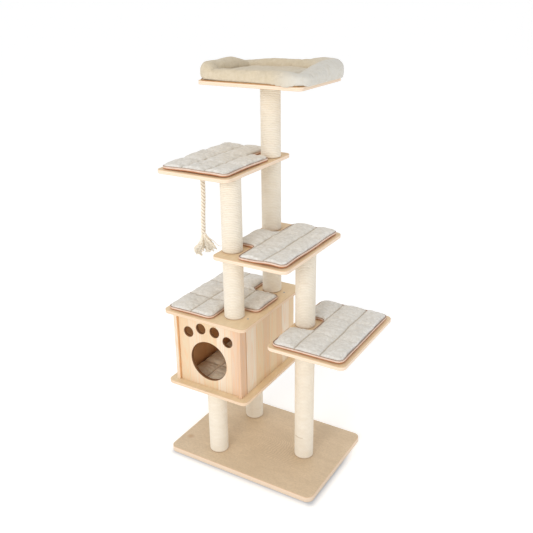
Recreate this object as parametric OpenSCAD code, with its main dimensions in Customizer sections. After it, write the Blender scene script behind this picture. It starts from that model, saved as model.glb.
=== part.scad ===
// Cat tree with a condo, three shelves and a bed on sisal posts.
// Millimetres. The origin is the centre of the base's underside, +Z up.
// The condo's door faces -Y and the right shelf reaches out to +X.

/* [Base] */
// Length of the base board, left to right
base_l = 710; // [640:5:800]
// Depth of the base board, front to back
base_w = 500; // [480:5:600]
// Thickness of the base board
base_t = 25; // [20:1:30]
// Radius of the base board's corners
base_r = 30; // [10:1:50]

/* [Boards] */
// Thickness of the shelves, the roof and the condo's boards
board_t = 15; // [14:1:18]
// Radius of the shelves' corners
board_r = 25; // [10:1:35]
// Length of each shelf, left to right
shelf_l = 330; // [320:5:350]
// Depth of each shelf, front to back
shelf_w = 480; // [460:5:490]
// Length of the top board, left to right
top_l = 460; // [420:5:500]
// Depth of the top board, front to back
top_w = 350; // [320:5:380]

/* [Heights of the boards' tops] */
// Condo floor
condo_floor_z = 373; // [330:1:400]
// Condo roof
roof_z = 707; // [690:1:740]
// Right shelf
right_shelf_z = 662; // [620:1:700]
// Middle shelf
middle_shelf_z = 990; // [960:1:1020]
// Left shelf
left_shelf_z = 1299; // [1260:1:1320]
// Top board
top_board_z = 1608; // [1560:1:1640]

/* [Places] */
// Left edge of the left shelf, from the middle of the base
left_shelf_x = -335; // [-345:1:-325]
// Left edge of the middle shelf
middle_shelf_x = -92; // [-96:1:-92]
// Left edge of the right shelf
right_shelf_x = 147; // [140:1:150]
// Middle of the condo, left or right of the middle of the base
condo_x = -146; // [-150:1:-140]

/* [Posts] */
// Diameter of a post over its rope wrap
post_d = 80; // [76:1:84]
// Diameter of a post's core tube
core_d = 66; // [60:1:70]
// Wall of a core tube
core_wall = 4; // [3:0.5:6]
// Thickness of the plug in each end of a core
plug_t = 18; // [12:1:25]
// Distance of the front and back posts from the middle
post_y = 150; // [140:1:160]
// The two low posts, left of the middle
low_post_x = -155; // [-160:1:-150]
// The upper front and back posts, left of the middle
upper_post_x = -51; // [-52:1:-48]
// The post under the right shelf, right of the middle
right_post_x = 193; // [190:1:196]

/* [Condo] */
// Outer width of the condo's box
condo_l = 329; // [320:1:340]
// Outer depth of the condo's box
condo_w = 442; // [430:1:450]
// How far the roof and the floor stand out past each side wall
side_overhang = 33; // [25:1:40]
// How far the roof and the floor stand out past the front
front_overhang = 24; // [15:1:30]
// How far the front panel is set back between the walls
panel_recess = 10; // [4:1:15]
// Diameter of the door
door_d = 176; // [160:1:190]
// Height of the door's middle above the condo floor
door_up = 125; // [120:1:130]
// Diameter of a paw hole
paw_d = 46; // [36:1:50]
// Height of the two inner paw holes above the condo floor
inner_paw_up = 268; // [262:1:270]
// Height of the two outer paw holes above the condo floor
outer_paw_up = 240; // [236:1:244]
// Half the distance between the inner paw holes
inner_paw_x = 34; // [32:1:38]
// Half the distance between the outer paw holes
outer_paw_x = 97; // [94:1:100]

/* [Cushions] */
// Thickness of a cushion
cushion_t = 25; // [18:1:35]
// How far a cushion stays in from its board's edge
cushion_in = 14; // [8:1:20]
// Distance from a post's middle to the cushion beside it
post_room = 60; // [50:1:70]
// Further distance that the middle shelf's cushion keeps from its posts
middle_room = 6; // [0:1:10]
// Radius of a cushion's corners
cushion_r = 26; // [15:1:28]
// Gap between the condo's cushion and the walls round it
cabin_room = 6; // [4:1:12]
// Gap between a cushion and its board, taken up by the hook tape
tape_gap = 1.5; // [1.3:0.1:3]

/* [Bed] */
// Length of the bed over its bolster
bed_l = 474; // [440:2:480]
// Depth of the bed over its bolster
bed_w = 360; // [330:2:370]
// Distance from the back posts' middle to the bed's middle, to the right
bed_shift = 6; // [0:1:10]
// Thickness of the bolster
bolster_d = 76; // [60:1:90]
// Thickness of the pad inside the bolster
pad_t = 34; // [20:1:45]

/* [Rope toy] */
// Diameter of the hanging rope
rope_d = 20; // [14:1:22]
// Diameter of the wire of the eye and the ring
wire_d = 3; // [2.5:0.1:3]
// Greatest diameter of the frayed end
tassel_d = 76; // [60:1:80]

/* [Fasteners] */
// Diameter of the bolts and studs
bolt_d = 8; // [6:1:8]
// Diameter of the hole for a bolt or stud
bolt_hole_d = 8.4; // [8.2:0.1:9]
// Diameter of a bolt's head
head_d = 15; // [12:0.5:15]
// Height of a bolt's head
head_t = 4; // [3:0.5:4]
// Diameter of a washer
washer_d = 17; // [16:0.5:18]
// Thickness of a washer
washer_t = 1.5; // [1:0.1:1.5]
// Diameter of the pocket for a bolt's head
pocket_d = 20; // [19:0.5:22]
// Diameter of a wood screw's shank
screw_d = 4; // [3:0.5:4]
// Diameter of a wood screw's head
screw_head_d = 8; // [7:0.5:9]
// Length of a wood screw
screw_len = 45; // [35:1:50]
// Diameter of a dowel
dowel_d = 8; // [6:1:8]
// Length of a dowel
dowel_len = 24; // [18:1:24]

/* [Hidden] */
$fn = 64;

pine = [0.93, 0.81, 0.65];
pine_dark = [0.86, 0.73, 0.56];
sisal_colour = [0.93, 0.88, 0.78];
card_colour = [0.70, 0.58, 0.42];
steel_colour = [0.72, 0.73, 0.74];
plush_colour = [0.85, 0.82, 0.78];
velvet_colour = [0.88, 0.82, 0.72];
tape_colour = [0.90, 0.88, 0.84];

eps = 0.05;
pocket_depth = head_t + washer_t + 0.5;

// Boards as [left, right, front, back] in plan.
base_rect = [-base_l / 2, base_l / 2, -base_w / 2, base_w / 2];
condo_rect = [condo_x - condo_l / 2, condo_x + condo_l / 2, -condo_w / 2, condo_w / 2];
roof_rect = [
  condo_rect[0] - side_overhang, condo_rect[1] + side_overhang,
  condo_rect[2] - front_overhang, condo_rect[3] + front_overhang
];
right_rect = [right_shelf_x, right_shelf_x + shelf_l, -shelf_w / 2, shelf_w / 2];
middle_rect = [middle_shelf_x, middle_shelf_x + shelf_l, -shelf_w / 2, shelf_w / 2];
left_rect = [left_shelf_x, left_shelf_x + shelf_l, -shelf_w / 2, shelf_w / 2];
top_rect = [
  upper_post_x - top_l / 2, upper_post_x + top_l / 2,
  post_y - top_w / 2, post_y + top_w / 2
];

// Posts as [x, y, bottom, top].
front_low = [low_post_x, -post_y, base_t, condo_floor_z - board_t];
back_low = [low_post_x, post_y, base_t, condo_floor_z - board_t];
right_low = [right_post_x, 0, base_t, right_shelf_z - board_t];
right_upper = [right_post_x, 0, right_shelf_z, middle_shelf_z - board_t];
front_roof = [upper_post_x, -post_y, roof_z, middle_shelf_z - board_t];
back_roof = [upper_post_x, post_y, roof_z, middle_shelf_z - board_t];
front_upper = [upper_post_x, -post_y, middle_shelf_z, left_shelf_z - board_t];
back_upper = [upper_post_x, post_y, middle_shelf_z, left_shelf_z - board_t];
back_top = [upper_post_x, post_y, left_shelf_z, top_board_z - board_t];
POSTS = [
  front_low, back_low, right_low, right_upper, front_roof,
  back_roof, front_upper, back_upper, back_top
];

// Places of bolts: [x, y, face that the head's washer sits in, way the shank points].
base_bolt_at = [for (p = [front_low, back_low, right_low]) [p[0], p[1], 0, 1]];
condo_bolt_at = concat(
  [for (p = [front_low, back_low]) [p[0], p[1], condo_floor_z, -1]],
  [for (p = [front_roof, back_roof]) [p[0], p[1], roof_z - board_t, 1]]
);
shelf_bolt_at = [
  [right_upper[0], right_upper[1], middle_shelf_z, -1],
  [front_upper[0], front_upper[1], left_shelf_z, -1],
  [back_top[0], back_top[1], top_board_z, -1]
];
// Places of studs: [x, y, underside of the shelf that they pass].
stud_at = [
  [right_post_x, 0, right_shelf_z - board_t],
  [upper_post_x, -post_y, middle_shelf_z - board_t],
  [upper_post_x, post_y, middle_shelf_z - board_t],
  [upper_post_x, post_y, left_shelf_z - board_t]
];

panel_front_y = condo_rect[2] + panel_recess;
left_wall_x = condo_rect[0] + board_t / 2;
right_wall_x = condo_rect[1] - board_t / 2;
wall_h = roof_z - board_t - condo_floor_z;
// Places of the wood screws and dowels in plan.
screw_y = condo_w / 3;
screw_at = [for (x = [left_wall_x, right_wall_x], y = [-screw_y, screw_y]) [x, y]];
dowel_x = condo_l / 3;
dowel_y = [panel_front_y + board_t / 2, condo_rect[3] - board_t / 2];
dowel_at = [for (s = [-1, 1], y = dowel_y) [condo_x + s * dowel_x, y]];

// Hook tape under each cushion: [x, y, top of the board].
tape_size = [50, 20, 1.2];
patch_in = 60;
function corners_in(r, z, d = patch_in) =
  [for (x = [r[0] + d, r[1] - d], y = [r[2] + d, r[3] - d]) [x, y, z]];
left_of_posts = [roof_rect[0], upper_post_x - post_room, roof_rect[2], roof_rect[3]];
right_of_posts = [upper_post_x + post_room, middle_rect[1], middle_rect[2], middle_rect[3]];
patch_at = concat(
  corners_in(left_of_posts, roof_z),
  corners_in([condo_rect[0], condo_rect[1], condo_rect[2], condo_rect[3]], condo_floor_z),
  corners_in([right_post_x + post_room, right_rect[1], right_rect[2], right_rect[3]], right_shelf_z),
  corners_in(right_of_posts, middle_shelf_z),
  corners_in([left_rect[0], upper_post_x - post_room, left_rect[2], left_rect[3]], left_shelf_z)
);

// The bolster's middle line runs run_x and run_y from the bed's middle.
bed_z = top_board_z + tape_gap;
bed_x = upper_post_x + bed_shift;
roll_r = bolster_d / 2;
bend_r = 34;
run_x = bed_l / 2 - roll_r;
run_y = bed_w / 2 - roll_r;
pad_room = 1;
pad_r = 12;

// The rope's route, from inside its cap down to where it frays.
ROPE_ROUTE = [
  [-290, 0, 1244], [-290, 0, 1230], [-290, 0, 1210], [-290, 1, 1190], [-290, 1, 1170],
  [-291, 1, 1150], [-291, 1, 1130], [-292, 0, 1110], [-293, 0, 1090], [-294, -1, 1070],
  [-295, -1, 1050], [-296, -1, 1030], [-297, 0, 1010], [-298, 0, 990], [-298, 0, 972]
];
rope_x = -290;
rope_sides = 12;
eye_r = 7;
ring_r = 9;
wire_gap = 0.1;
eye_drop = 10;
eye_shank = 9;
eye_flange_d = 12;
eye_flange_t = 1.2;
eye_z = left_shelf_z - board_t - eye_drop;
ring_z = eye_z - eye_r + wire_d + wire_gap - ring_r;
cap_hole_z = ring_z - ring_r;
cap_hole_d = wire_d + 0.5;
cap_tab_w = 10;
cap_tab_t = 2;
cap_top_z = cap_hole_z - 6;
cap_h = 16;
cap_wall = 2;
tassel_len = 107;
tassel_lean = 5.3;
tassel_neck = 18;
tassel_swell = 48;
tassel_swell_share = 0.72;
tassel_widest = 82;
tassel_hem = 4;
tassel_hem_share = 0.8;
tassel_lap = 0.8;

// ---- shapes used more than once ----

module round_rect(r, radius) {
  translate([r[0] + radius, r[2]]) square([r[1] - r[0] - 2 * radius, r[3] - r[2]]);
  translate([r[0], r[2] + radius]) square([r[1] - r[0], r[3] - r[2] - 2 * radius]);
  for (x = [r[0] + radius, r[1] - radius], y = [r[2] + radius, r[3] - radius])
    translate([x, y]) circle(radius);
}

module board(r, top_z, t = board_t, radius = board_r) {
  translate([0, 0, top_z - t]) linear_extrude(t) round_rect(r, radius);
}

// Cuts the hole and the pocket for one bolt, whose washer sits in the face at p[2].
module bolt_cut(p, t) {
  s = p[3];
  translate([p[0], p[1], p[2] + s * t / 2]) cylinder(d = bolt_hole_d, h = t + 2, center = true);
  translate([p[0], p[1], p[2] + s * (pocket_depth / 2 - 1)])
    cylinder(d = pocket_d, h = pocket_depth + 2, center = true);
}

module bolt(p, t) {
  s = p[3];
  shank = t - pocket_depth + washer_t + plug_t - 1;
  translate([p[0], p[1], p[2] + s * pocket_depth]) mirror([0, 0, s > 0 ? 0 : 1]) {
    translate([0, 0, -washer_t - head_t]) difference() {
      cylinder(d = head_d, h = head_t);
      translate([0, 0, -1]) cylinder(d = head_d / 2, h = head_t / 2 + 1, $fn = 6);
    }
    translate([0, 0, -washer_t]) cylinder(d = bolt_d, h = shank);
  }
}

module washer(p) {
  s = p[3];
  translate([p[0], p[1], p[2] + s * pocket_depth]) mirror([0, 0, s > 0 ? 0 : 1])
    translate([0, 0, -washer_t]) difference() {
      cylinder(d = washer_d, h = washer_t);
      translate([0, 0, -1]) cylinder(d = bolt_hole_d, h = washer_t + 2);
    }
}

module core(p) {
  color(card_colour) translate([p[0], p[1], p[2]]) difference() {
    cylinder(d = core_d, h = p[3] - p[2]);
    translate([0, 0, -1]) cylinder(d = core_d - 2 * core_wall, h = p[3] - p[2] + 2);
  }
}

module sisal(p) {
  color(sisal_colour) translate([p[0], p[1], p[2]]) difference() {
    cylinder(d = post_d, h = p[3] - p[2]);
    translate([0, 0, -1]) cylinder(d = core_d, h = p[3] - p[2] + 2);
  }
}

module plug(x, y, z) {
  translate([x, y, z]) difference() {
    cylinder(d = core_d - 2 * core_wall, h = plug_t);
    translate([0, 0, -1]) cylinder(d = bolt_hole_d, h = plug_t + 2);
  }
}

module stud_cut(p) {
  translate([p[0], p[1], p[2] - 1]) cylinder(d = bolt_hole_d, h = board_t + 2);
}

// ---- wood ----

module base_board() {
  color(pine_dark) difference() {
    board(base_rect, base_t, base_t, base_r);
    for (p = base_bolt_at) bolt_cut(p, base_t);
  }
}

module screw_cut(x, y, z, s) {
  translate([x, y, z]) mirror([0, 0, s > 0 ? 0 : 1]) {
    translate([0, 0, -1]) cylinder(d = screw_d + 2 * eps, h = screw_len + 2);
    translate([0, 0, -eps]) cylinder(d1 = screw_head_d + 2 * eps, d2 = screw_d, h = screw_d / 2 + eps);
  }
}

module dowel_cuts(z) {
  for (p = dowel_at) translate([p[0], p[1], z]) cylinder(d = dowel_d, h = dowel_len, center = true);
}

module condo_floor() {
  color(pine) difference() {
    board(roof_rect, condo_floor_z);
    for (p = condo_bolt_at) if (p[3] < 0) bolt_cut(p, board_t);
    for (p = screw_at) screw_cut(p[0], p[1], condo_floor_z - board_t, 1);
    dowel_cuts(condo_floor_z);
  }
}

module condo_roof() {
  color(pine) difference() {
    board(roof_rect, roof_z);
    for (p = condo_bolt_at) if (p[3] > 0) bolt_cut(p, board_t);
    for (p = screw_at) screw_cut(p[0], p[1], roof_z, -1);
    dowel_cuts(roof_z - board_t);
  }
}

module side_wall(x) {
  color(pine) difference() {
    translate([x - board_t / 2, condo_rect[2], condo_floor_z]) cube([board_t, condo_w, wall_h]);
    for (p = screw_at) {
      screw_cut(p[0], p[1], roof_z, -1);
      screw_cut(p[0], p[1], condo_floor_z - board_t, 1);
    }
  }
}

module panel_blank(y) {
  translate([condo_rect[0] + board_t, y, condo_floor_z])
    cube([condo_l - 2 * board_t, board_t, wall_h]);
}

module panel_hole(x, up, d) {
  translate([condo_x + x, panel_front_y - 1, condo_floor_z + up])
    rotate([-90, 0, 0]) cylinder(d = d, h = board_t + 2);
}

module condo_front_panel() {
  color(pine) difference() {
    panel_blank(panel_front_y);
    panel_hole(0, door_up, door_d);
    for (s = [-1, 1]) {
      panel_hole(s * inner_paw_x, inner_paw_up, paw_d);
      panel_hole(s * outer_paw_x, outer_paw_up, paw_d);
    }
    dowel_cuts(condo_floor_z);
    dowel_cuts(roof_z - board_t);
  }
}

module condo_back_wall() {
  color(pine) difference() {
    panel_blank(condo_rect[3] - board_t);
    dowel_cuts(condo_floor_z);
    dowel_cuts(roof_z - board_t);
  }
}

module right_shelf() {
  color(pine) difference() {
    board(right_rect, right_shelf_z);
    stud_cut(stud_at[0]);
  }
}

module middle_shelf() {
  color(pine) difference() {
    board(middle_rect, middle_shelf_z);
    bolt_cut(shelf_bolt_at[0], board_t);
    stud_cut(stud_at[1]);
    stud_cut(stud_at[2]);
  }
}

module left_shelf() {
  color(pine) difference() {
    board(left_rect, left_shelf_z);
    bolt_cut(shelf_bolt_at[1], board_t);
    stud_cut(stud_at[3]);
    translate([rope_x, 0, left_shelf_z - board_t - 1]) cylinder(d = wire_d + 2 * eps, h = eye_shank + 2);
  }
}

module top_board() {
  color(pine) difference() {
    board(top_rect, top_board_z);
    bolt_cut(shelf_bolt_at[2], board_t);
  }
}

// ---- hardware ----

module post_plugs() {
  color(pine_dark) for (p = POSTS) {
    plug(p[0], p[1], p[2]);
    plug(p[0], p[1], p[3] - plug_t);
  }
}

module post_studs() {
  color(steel_colour) for (p = stud_at)
    translate([p[0], p[1], p[2] - plug_t + 1]) cylinder(d = bolt_d, h = board_t + 2 * plug_t - 2);
}

module base_bolts() {
  color(steel_colour) for (p = base_bolt_at) bolt(p, base_t);
}

module condo_bolts() {
  color(steel_colour) for (p = condo_bolt_at) bolt(p, board_t);
}

module shelf_bolts() {
  color(steel_colour) for (p = shelf_bolt_at) bolt(p, board_t);
}

module bolt_washers() {
  color(steel_colour) for (p = concat(base_bolt_at, condo_bolt_at, shelf_bolt_at)) washer(p);
}

module wood_screw(x, y, z, s) {
  translate([x, y, z]) mirror([0, 0, s > 0 ? 0 : 1]) {
    cylinder(d = screw_d, h = screw_len);
    cylinder(d1 = screw_head_d, d2 = screw_d, h = screw_d / 2);
  }
}

module wall_screws() {
  color(steel_colour) for (p = screw_at) {
    wood_screw(p[0], p[1], roof_z, -1);
    wood_screw(p[0], p[1], condo_floor_z - board_t, 1);
  }
}

module panel_dowels() {
  color(pine_dark) for (p = dowel_at, z = [condo_floor_z, roof_z - board_t])
    translate([p[0], p[1], z]) cylinder(d = dowel_d - eps, h = dowel_len - 1, center = true);
}

module hook_patches() {
  color(tape_colour) for (p = patch_at)
    translate([p[0] - tape_size[0] / 2, p[1] - tape_size[1] / 2, p[2]]) cube(tape_size);
}

// ---- soft goods ----

module cushion(z) {
  color(plush_colour) translate([0, 0, z + tape_gap]) linear_extrude(cushion_t) children();
}

function inset(r, d) = [r[0] + d, r[1] - d, r[2] + d, r[3] - d];

// Lies left of the two upper posts, with a lobe between them.
module roof_cushion() {
  r = inset(roof_rect, cushion_in);
  lobe_y = post_y - post_room;
  cushion(roof_z) {
    round_rect([r[0], upper_post_x - post_room, r[2], r[3]], cushion_r);
    round_rect([r[0], r[1] - cushion_in, -lobe_y, lobe_y], cushion_r);
  }
}

module condo_cushion() {
  cabin = [
    condo_rect[0] + board_t, condo_rect[1] - board_t,
    panel_front_y + board_t, condo_rect[3] - board_t
  ];
  cushion(condo_floor_z) round_rect(inset(cabin, cabin_room), cushion_r);
}

// Notched on its left edge round the right post.
module right_cushion() {
  r = inset(right_rect, cushion_in);
  cushion(right_shelf_z) {
    round_rect([right_post_x + post_room, r[1], r[2], r[3]], cushion_r);
    round_rect([r[0], r[1], r[2], -post_room], cushion_r);
    round_rect([r[0], r[1], post_room, r[3]], cushion_r);
  }
}

// Lies right of the two upper posts, with a lobe between them.
module middle_cushion() {
  r = inset(middle_rect, cushion_in);
  lobe_y = post_y - post_room;
  cushion(middle_shelf_z) {
    round_rect([upper_post_x + post_room + middle_room, r[1], r[2], r[3]], cushion_r);
    round_rect([r[0], r[1], -lobe_y, lobe_y], cushion_r);
  }
}

// Covers the front post's end and stops short of the back post.
module left_cushion() {
  r = inset(left_rect, cushion_in);
  cushion(left_shelf_z) {
    round_rect([r[0], upper_post_x - post_room, r[2], r[3]], cushion_r);
    round_rect([r[0], r[1], r[2], post_y - post_room], cushion_r);
  }
}

module bed_pad() {
  color(velvet_colour) translate([bed_x, post_y, bed_z])
    linear_extrude(pad_t) round_rect(inset([-run_x, run_x, -run_y, run_y], roll_r + pad_room), pad_r);
}

// A roll along the bed's four sides, with round bends at the corners.
module bed_bolster() {
  bend = roll_r + bend_r;
  color(velvet_colour) translate([bed_x, post_y, bed_z + roll_r]) {
    for (s = [-1, 1]) {
      translate([0, s * run_y, 0]) rotate([0, 90, 0])
        cylinder(r = roll_r, h = 2 * (bed_l / 2 - bend), center = true);
      translate([s * run_x, 0, 0]) rotate([90, 0, 0])
        cylinder(r = roll_r, h = 2 * (bed_w / 2 - bend), center = true);
    }
    for (c = [[1, 1, 0], [-1, 1, 90], [-1, -1, 180], [1, -1, 270]])
      translate([c[0] * (bed_l / 2 - bend), c[1] * (bed_w / 2 - bend), 0])
        rotate([0, 0, c[2]]) rotate_extrude(angle = 90)
          intersection() {
            translate([bend_r, 0]) circle(roll_r);
            translate([0, -roll_r]) square([2 * bend, 2 * roll_r]);
          }
  }
}

// ---- rope toy ----

module wire_ring(r) {
  rotate_extrude() translate([r, 0]) circle(d = wire_d);
}

module rope_eye() {
  shelf_underside = left_shelf_z - board_t;
  color(steel_colour) {
    translate([rope_x, 0, eye_z]) rotate([90, 0, 0]) wire_ring(eye_r);
    translate([rope_x, 0, eye_z + eye_r]) cylinder(d = wire_d, h = eye_drop - eye_r + eye_shank);
    translate([rope_x, 0, shelf_underside - eye_flange_t]) cylinder(d = eye_flange_d, h = eye_flange_t);
  }
}

module rope_ring() {
  color(steel_colour) translate([rope_x, 0, ring_z]) rotate([0, 90, 0]) wire_ring(ring_r);
}

module rope_cap() {
  color(steel_colour) translate([rope_x, 0, 0]) {
    difference() {
      translate([0, 0, cap_top_z - cap_h]) cylinder(d = rope_d + 2 * cap_wall, h = cap_h);
      translate([0, 0, cap_top_z - cap_h - 1]) cylinder(d = rope_d, h = cap_h + 1 - cap_wall);
    }
    difference() {
      union() {
        translate([0, cap_tab_t / 2, cap_hole_z]) rotate([90, 0, 0])
          cylinder(d = cap_tab_w, h = cap_tab_t);
        translate([-cap_tab_w / 2, -cap_tab_t / 2, cap_top_z - 1])
          cube([cap_tab_w, cap_tab_t, cap_hole_z - cap_top_z + 1]);
      }
      translate([0, cap_tab_t, cap_hole_z]) rotate([90, 0, 0])
        cylinder(d = cap_hole_d, h = 2 * cap_tab_t);
    }
  }
}

// One ring of the swept tube round each point of the route.
function sweep_rings(route, r, n) =
  [for (p = route, i = [0 : n - 1]) [p[0] + r * cos(360 * i / n), p[1] + r * sin(360 * i / n), p[2]]];

function sweep_sides(rings, n) =
  [for (k = [0 : rings - 2], i = [0 : n - 1])
    [k * n + i, k * n + (i + 1) % n, (k + 1) * n + (i + 1) % n, (k + 1) * n + i]];

module hanging_rope() {
  n = rope_sides;
  rings = len(ROPE_ROUTE);
  faces = concat(
    [[for (i = [n - 1 : -1 : 0]) i]],
    sweep_sides(rings, n),
    [[for (i = [0 : n - 1]) (rings - 1) * n + i]]
  );
  color(sisal_colour) polyhedron(sweep_rings(ROPE_ROUTE, rope_d / 2, n), faces, convexity = 4);
}

// Hangs from the rope's last point, leaning a little to the right.
module rope_tassel() {
  end = ROPE_ROUTE[len(ROPE_ROUTE) - 1];
  r = tassel_d / 2;
  color(sisal_colour) translate(end) rotate([0, -tassel_lean, 0]) rotate_extrude() polygon([
    [0, -tassel_lap], [rope_d / 2, -tassel_lap], [rope_d, -tassel_neck],
    [r * tassel_swell_share, -tassel_swell], [r, -tassel_widest], [r, -tassel_len + tassel_hem],
    [r * tassel_hem_share, -tassel_len], [0, -tassel_len]
  ]);
}

base_board();
condo_floor();
side_wall(left_wall_x);  // condo_left_wall
side_wall(right_wall_x);  // condo_right_wall
condo_back_wall();
condo_front_panel();
condo_roof();
right_shelf();
middle_shelf();
left_shelf();
top_board();
core(front_low);  // front_low_core
core(back_low);  // back_low_core
core(right_low);  // right_low_core
core(right_upper);  // right_upper_core
core(front_roof);  // front_roof_core
core(back_roof);  // back_roof_core
core(front_upper);  // front_upper_core
core(back_upper);  // back_upper_core
core(back_top);  // back_top_core
sisal(front_low);  // front_low_sisal
sisal(back_low);  // back_low_sisal
sisal(right_low);  // right_low_sisal
sisal(right_upper);  // right_upper_sisal
sisal(front_roof);  // front_roof_sisal
sisal(back_roof);  // back_roof_sisal
sisal(front_upper);  // front_upper_sisal
sisal(back_upper);  // back_upper_sisal
sisal(back_top);  // back_top_sisal
post_plugs();
post_studs();
base_bolts();
condo_bolts();
shelf_bolts();
bolt_washers();
wall_screws();
panel_dowels();
hook_patches();
roof_cushion();
condo_cushion();
right_cushion();
middle_cushion();
left_cushion();
bed_pad();
bed_bolster();
rope_eye();
rope_ring();
rope_cap();
hanging_rope();
rope_tassel();
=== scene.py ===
"""Looks of the cat tree: wood, sisal, quilted mats, bed and rope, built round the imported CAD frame."""

import math

import bmesh
import bpy
import numpy as np
from mathutils import Matrix, Vector, noise
from mathutils.kdtree import KDTree


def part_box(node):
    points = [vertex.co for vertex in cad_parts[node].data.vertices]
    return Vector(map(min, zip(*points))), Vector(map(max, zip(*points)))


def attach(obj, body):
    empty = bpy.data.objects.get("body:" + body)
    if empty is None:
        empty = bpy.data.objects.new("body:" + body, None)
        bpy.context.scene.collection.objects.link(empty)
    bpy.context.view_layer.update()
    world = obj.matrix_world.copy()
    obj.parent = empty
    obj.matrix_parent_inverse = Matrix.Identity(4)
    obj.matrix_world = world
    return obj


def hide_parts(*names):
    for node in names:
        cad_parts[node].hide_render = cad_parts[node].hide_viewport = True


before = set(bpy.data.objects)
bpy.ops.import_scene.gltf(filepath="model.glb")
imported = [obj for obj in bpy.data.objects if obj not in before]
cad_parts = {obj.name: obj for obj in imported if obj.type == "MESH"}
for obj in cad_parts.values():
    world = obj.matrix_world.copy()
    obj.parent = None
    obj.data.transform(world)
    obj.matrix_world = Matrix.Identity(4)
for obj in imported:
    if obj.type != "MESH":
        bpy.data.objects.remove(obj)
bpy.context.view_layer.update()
chance = np.random.default_rng(11)

# ---- places and sizes, in metres ----

CAMERA_AT = (1.3595, -2.2343, 1.9527)
CAMERA_YAW, CAMERA_PITCH, CAMERA_ROLL = 31.09, 22.32, -0.69
CAMERA_LENS = 46.67

# The hanging rope's route, as in the CAD source.
ROPE_ROUTE = [
    (-0.290, 0, 1.244), (-0.290, 0, 1.230), (-0.290, 0, 1.210), (-0.290, 0.001, 1.190),
    (-0.290, 0.001, 1.170), (-0.291, 0.001, 1.150), (-0.291, 0.001, 1.130), (-0.292, 0, 1.110),
    (-0.293, 0, 1.090), (-0.294, -0.001, 1.070), (-0.295, -0.001, 1.050), (-0.296, -0.001, 1.030),
    (-0.297, 0, 1.010), (-0.298, 0, 0.990), (-0.298, 0, 0.972),
]
ROPE_D, ROPE_LAY, ROPE_STEP = 0.020, 0.045, 0.001
STRAND_R, STRAND_OUT, STRAND_SIDES = 0.0047, 0.0058, 28
YARNS, YARN_PROUD, YARN_LAY = 7, 0.05, 0.014

POSTS = [
    "front_low", "back_low", "right_low", "right_upper", "front_roof",
    "back_roof", "front_upper", "back_upper", "back_top",
]
SISAL_D = 0.007
WRAP_SIDES, WRAP_ROWS = 96, 8
WRAP_PROUD, WRAP_UNEVEN = 0.0012, 0.0003
LAP_POST, LAP_ANGLE, LAP_Z = "right_low", 262, 0.131
POST_ROOM = 0.060
MIDDLE_ROOM = 0.006
MAT_CORNER = 0.026
NOTCH_CORNER = 0.020
THIRDS = (0.335, 0.680)
UNSTUFFED_H = 0.018
BACKING_T = 0.0035
BINDING_H, BINDING_T = 0.0085, 0.0046
PLUSH_INSET = 0.0034
STITCH_LENGTH, STITCH_GAP = 0.0045, 0.0085
STITCH_RADII = [0.0003, 0.00042, 0.0003]
SEAM_REACH, SEAM_DEPTH = 0.0023, 0.0026
CREASE_REACH, CREASE_DEPTH = 0.008, 0.0010
FOLD_REACH, FOLD_DEPTH = 0.011, 0.0110
PULL_REACH = 0.022
CURL_REACH, CURL_MOST = 0.055, 0.008

# The cloth simulation: its length and stiffness, and each piece's pressure, growth and furthest travel.
CLOTH_FRAMES, CLOTH_STEPS, CLOTH_STIFFNESS = 20, 5, 0.2
MAT_STUFFING, ROLL_STUFFING, PAD_STUFFING = (4.0, 0.02, 0.009), (4.0, 0.03, 0.010), (4.0, 0.02, 0.010)

DOOR = (-0.146, 0.498, 0.088)
PAW_HOLES = [(-0.243, 0.613), (-0.180, 0.641), (-0.112, 0.641), (-0.049, 0.613)]
PAW_R = 0.023
ARCHES_AT, KNOT_AT = (0.10, -0.03), (-0.315, -0.149)

# The floor reaches far past the camera. Its shade round the base is full and then falls to nothing.
FLOOR_HALF = 240.0
SHADOW_CORNER, SHADOW_FULL, SHADOW_END, SHADOW_FALL = 0.012, 0.010, 0.046, 1.7


# ---- materials ----

def colour(red, green, blue):
    """A screen colour, 0 to 255, as linear light with an alpha of 1."""
    parts = [c / 255 for c in (red, green, blue)]
    return [c / 12.92 if c < 0.04045 else ((c + 0.055) / 1.055) ** 2.4 for c in parts] + [1.0]


def shaded(tone, *factors):
    """A colour with its three parts scaled, by one factor or by one each."""
    factors = factors * 3 if len(factors) == 1 else factors
    return [part * factor for part, factor in zip(tone, factors)] + [1.0]


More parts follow.
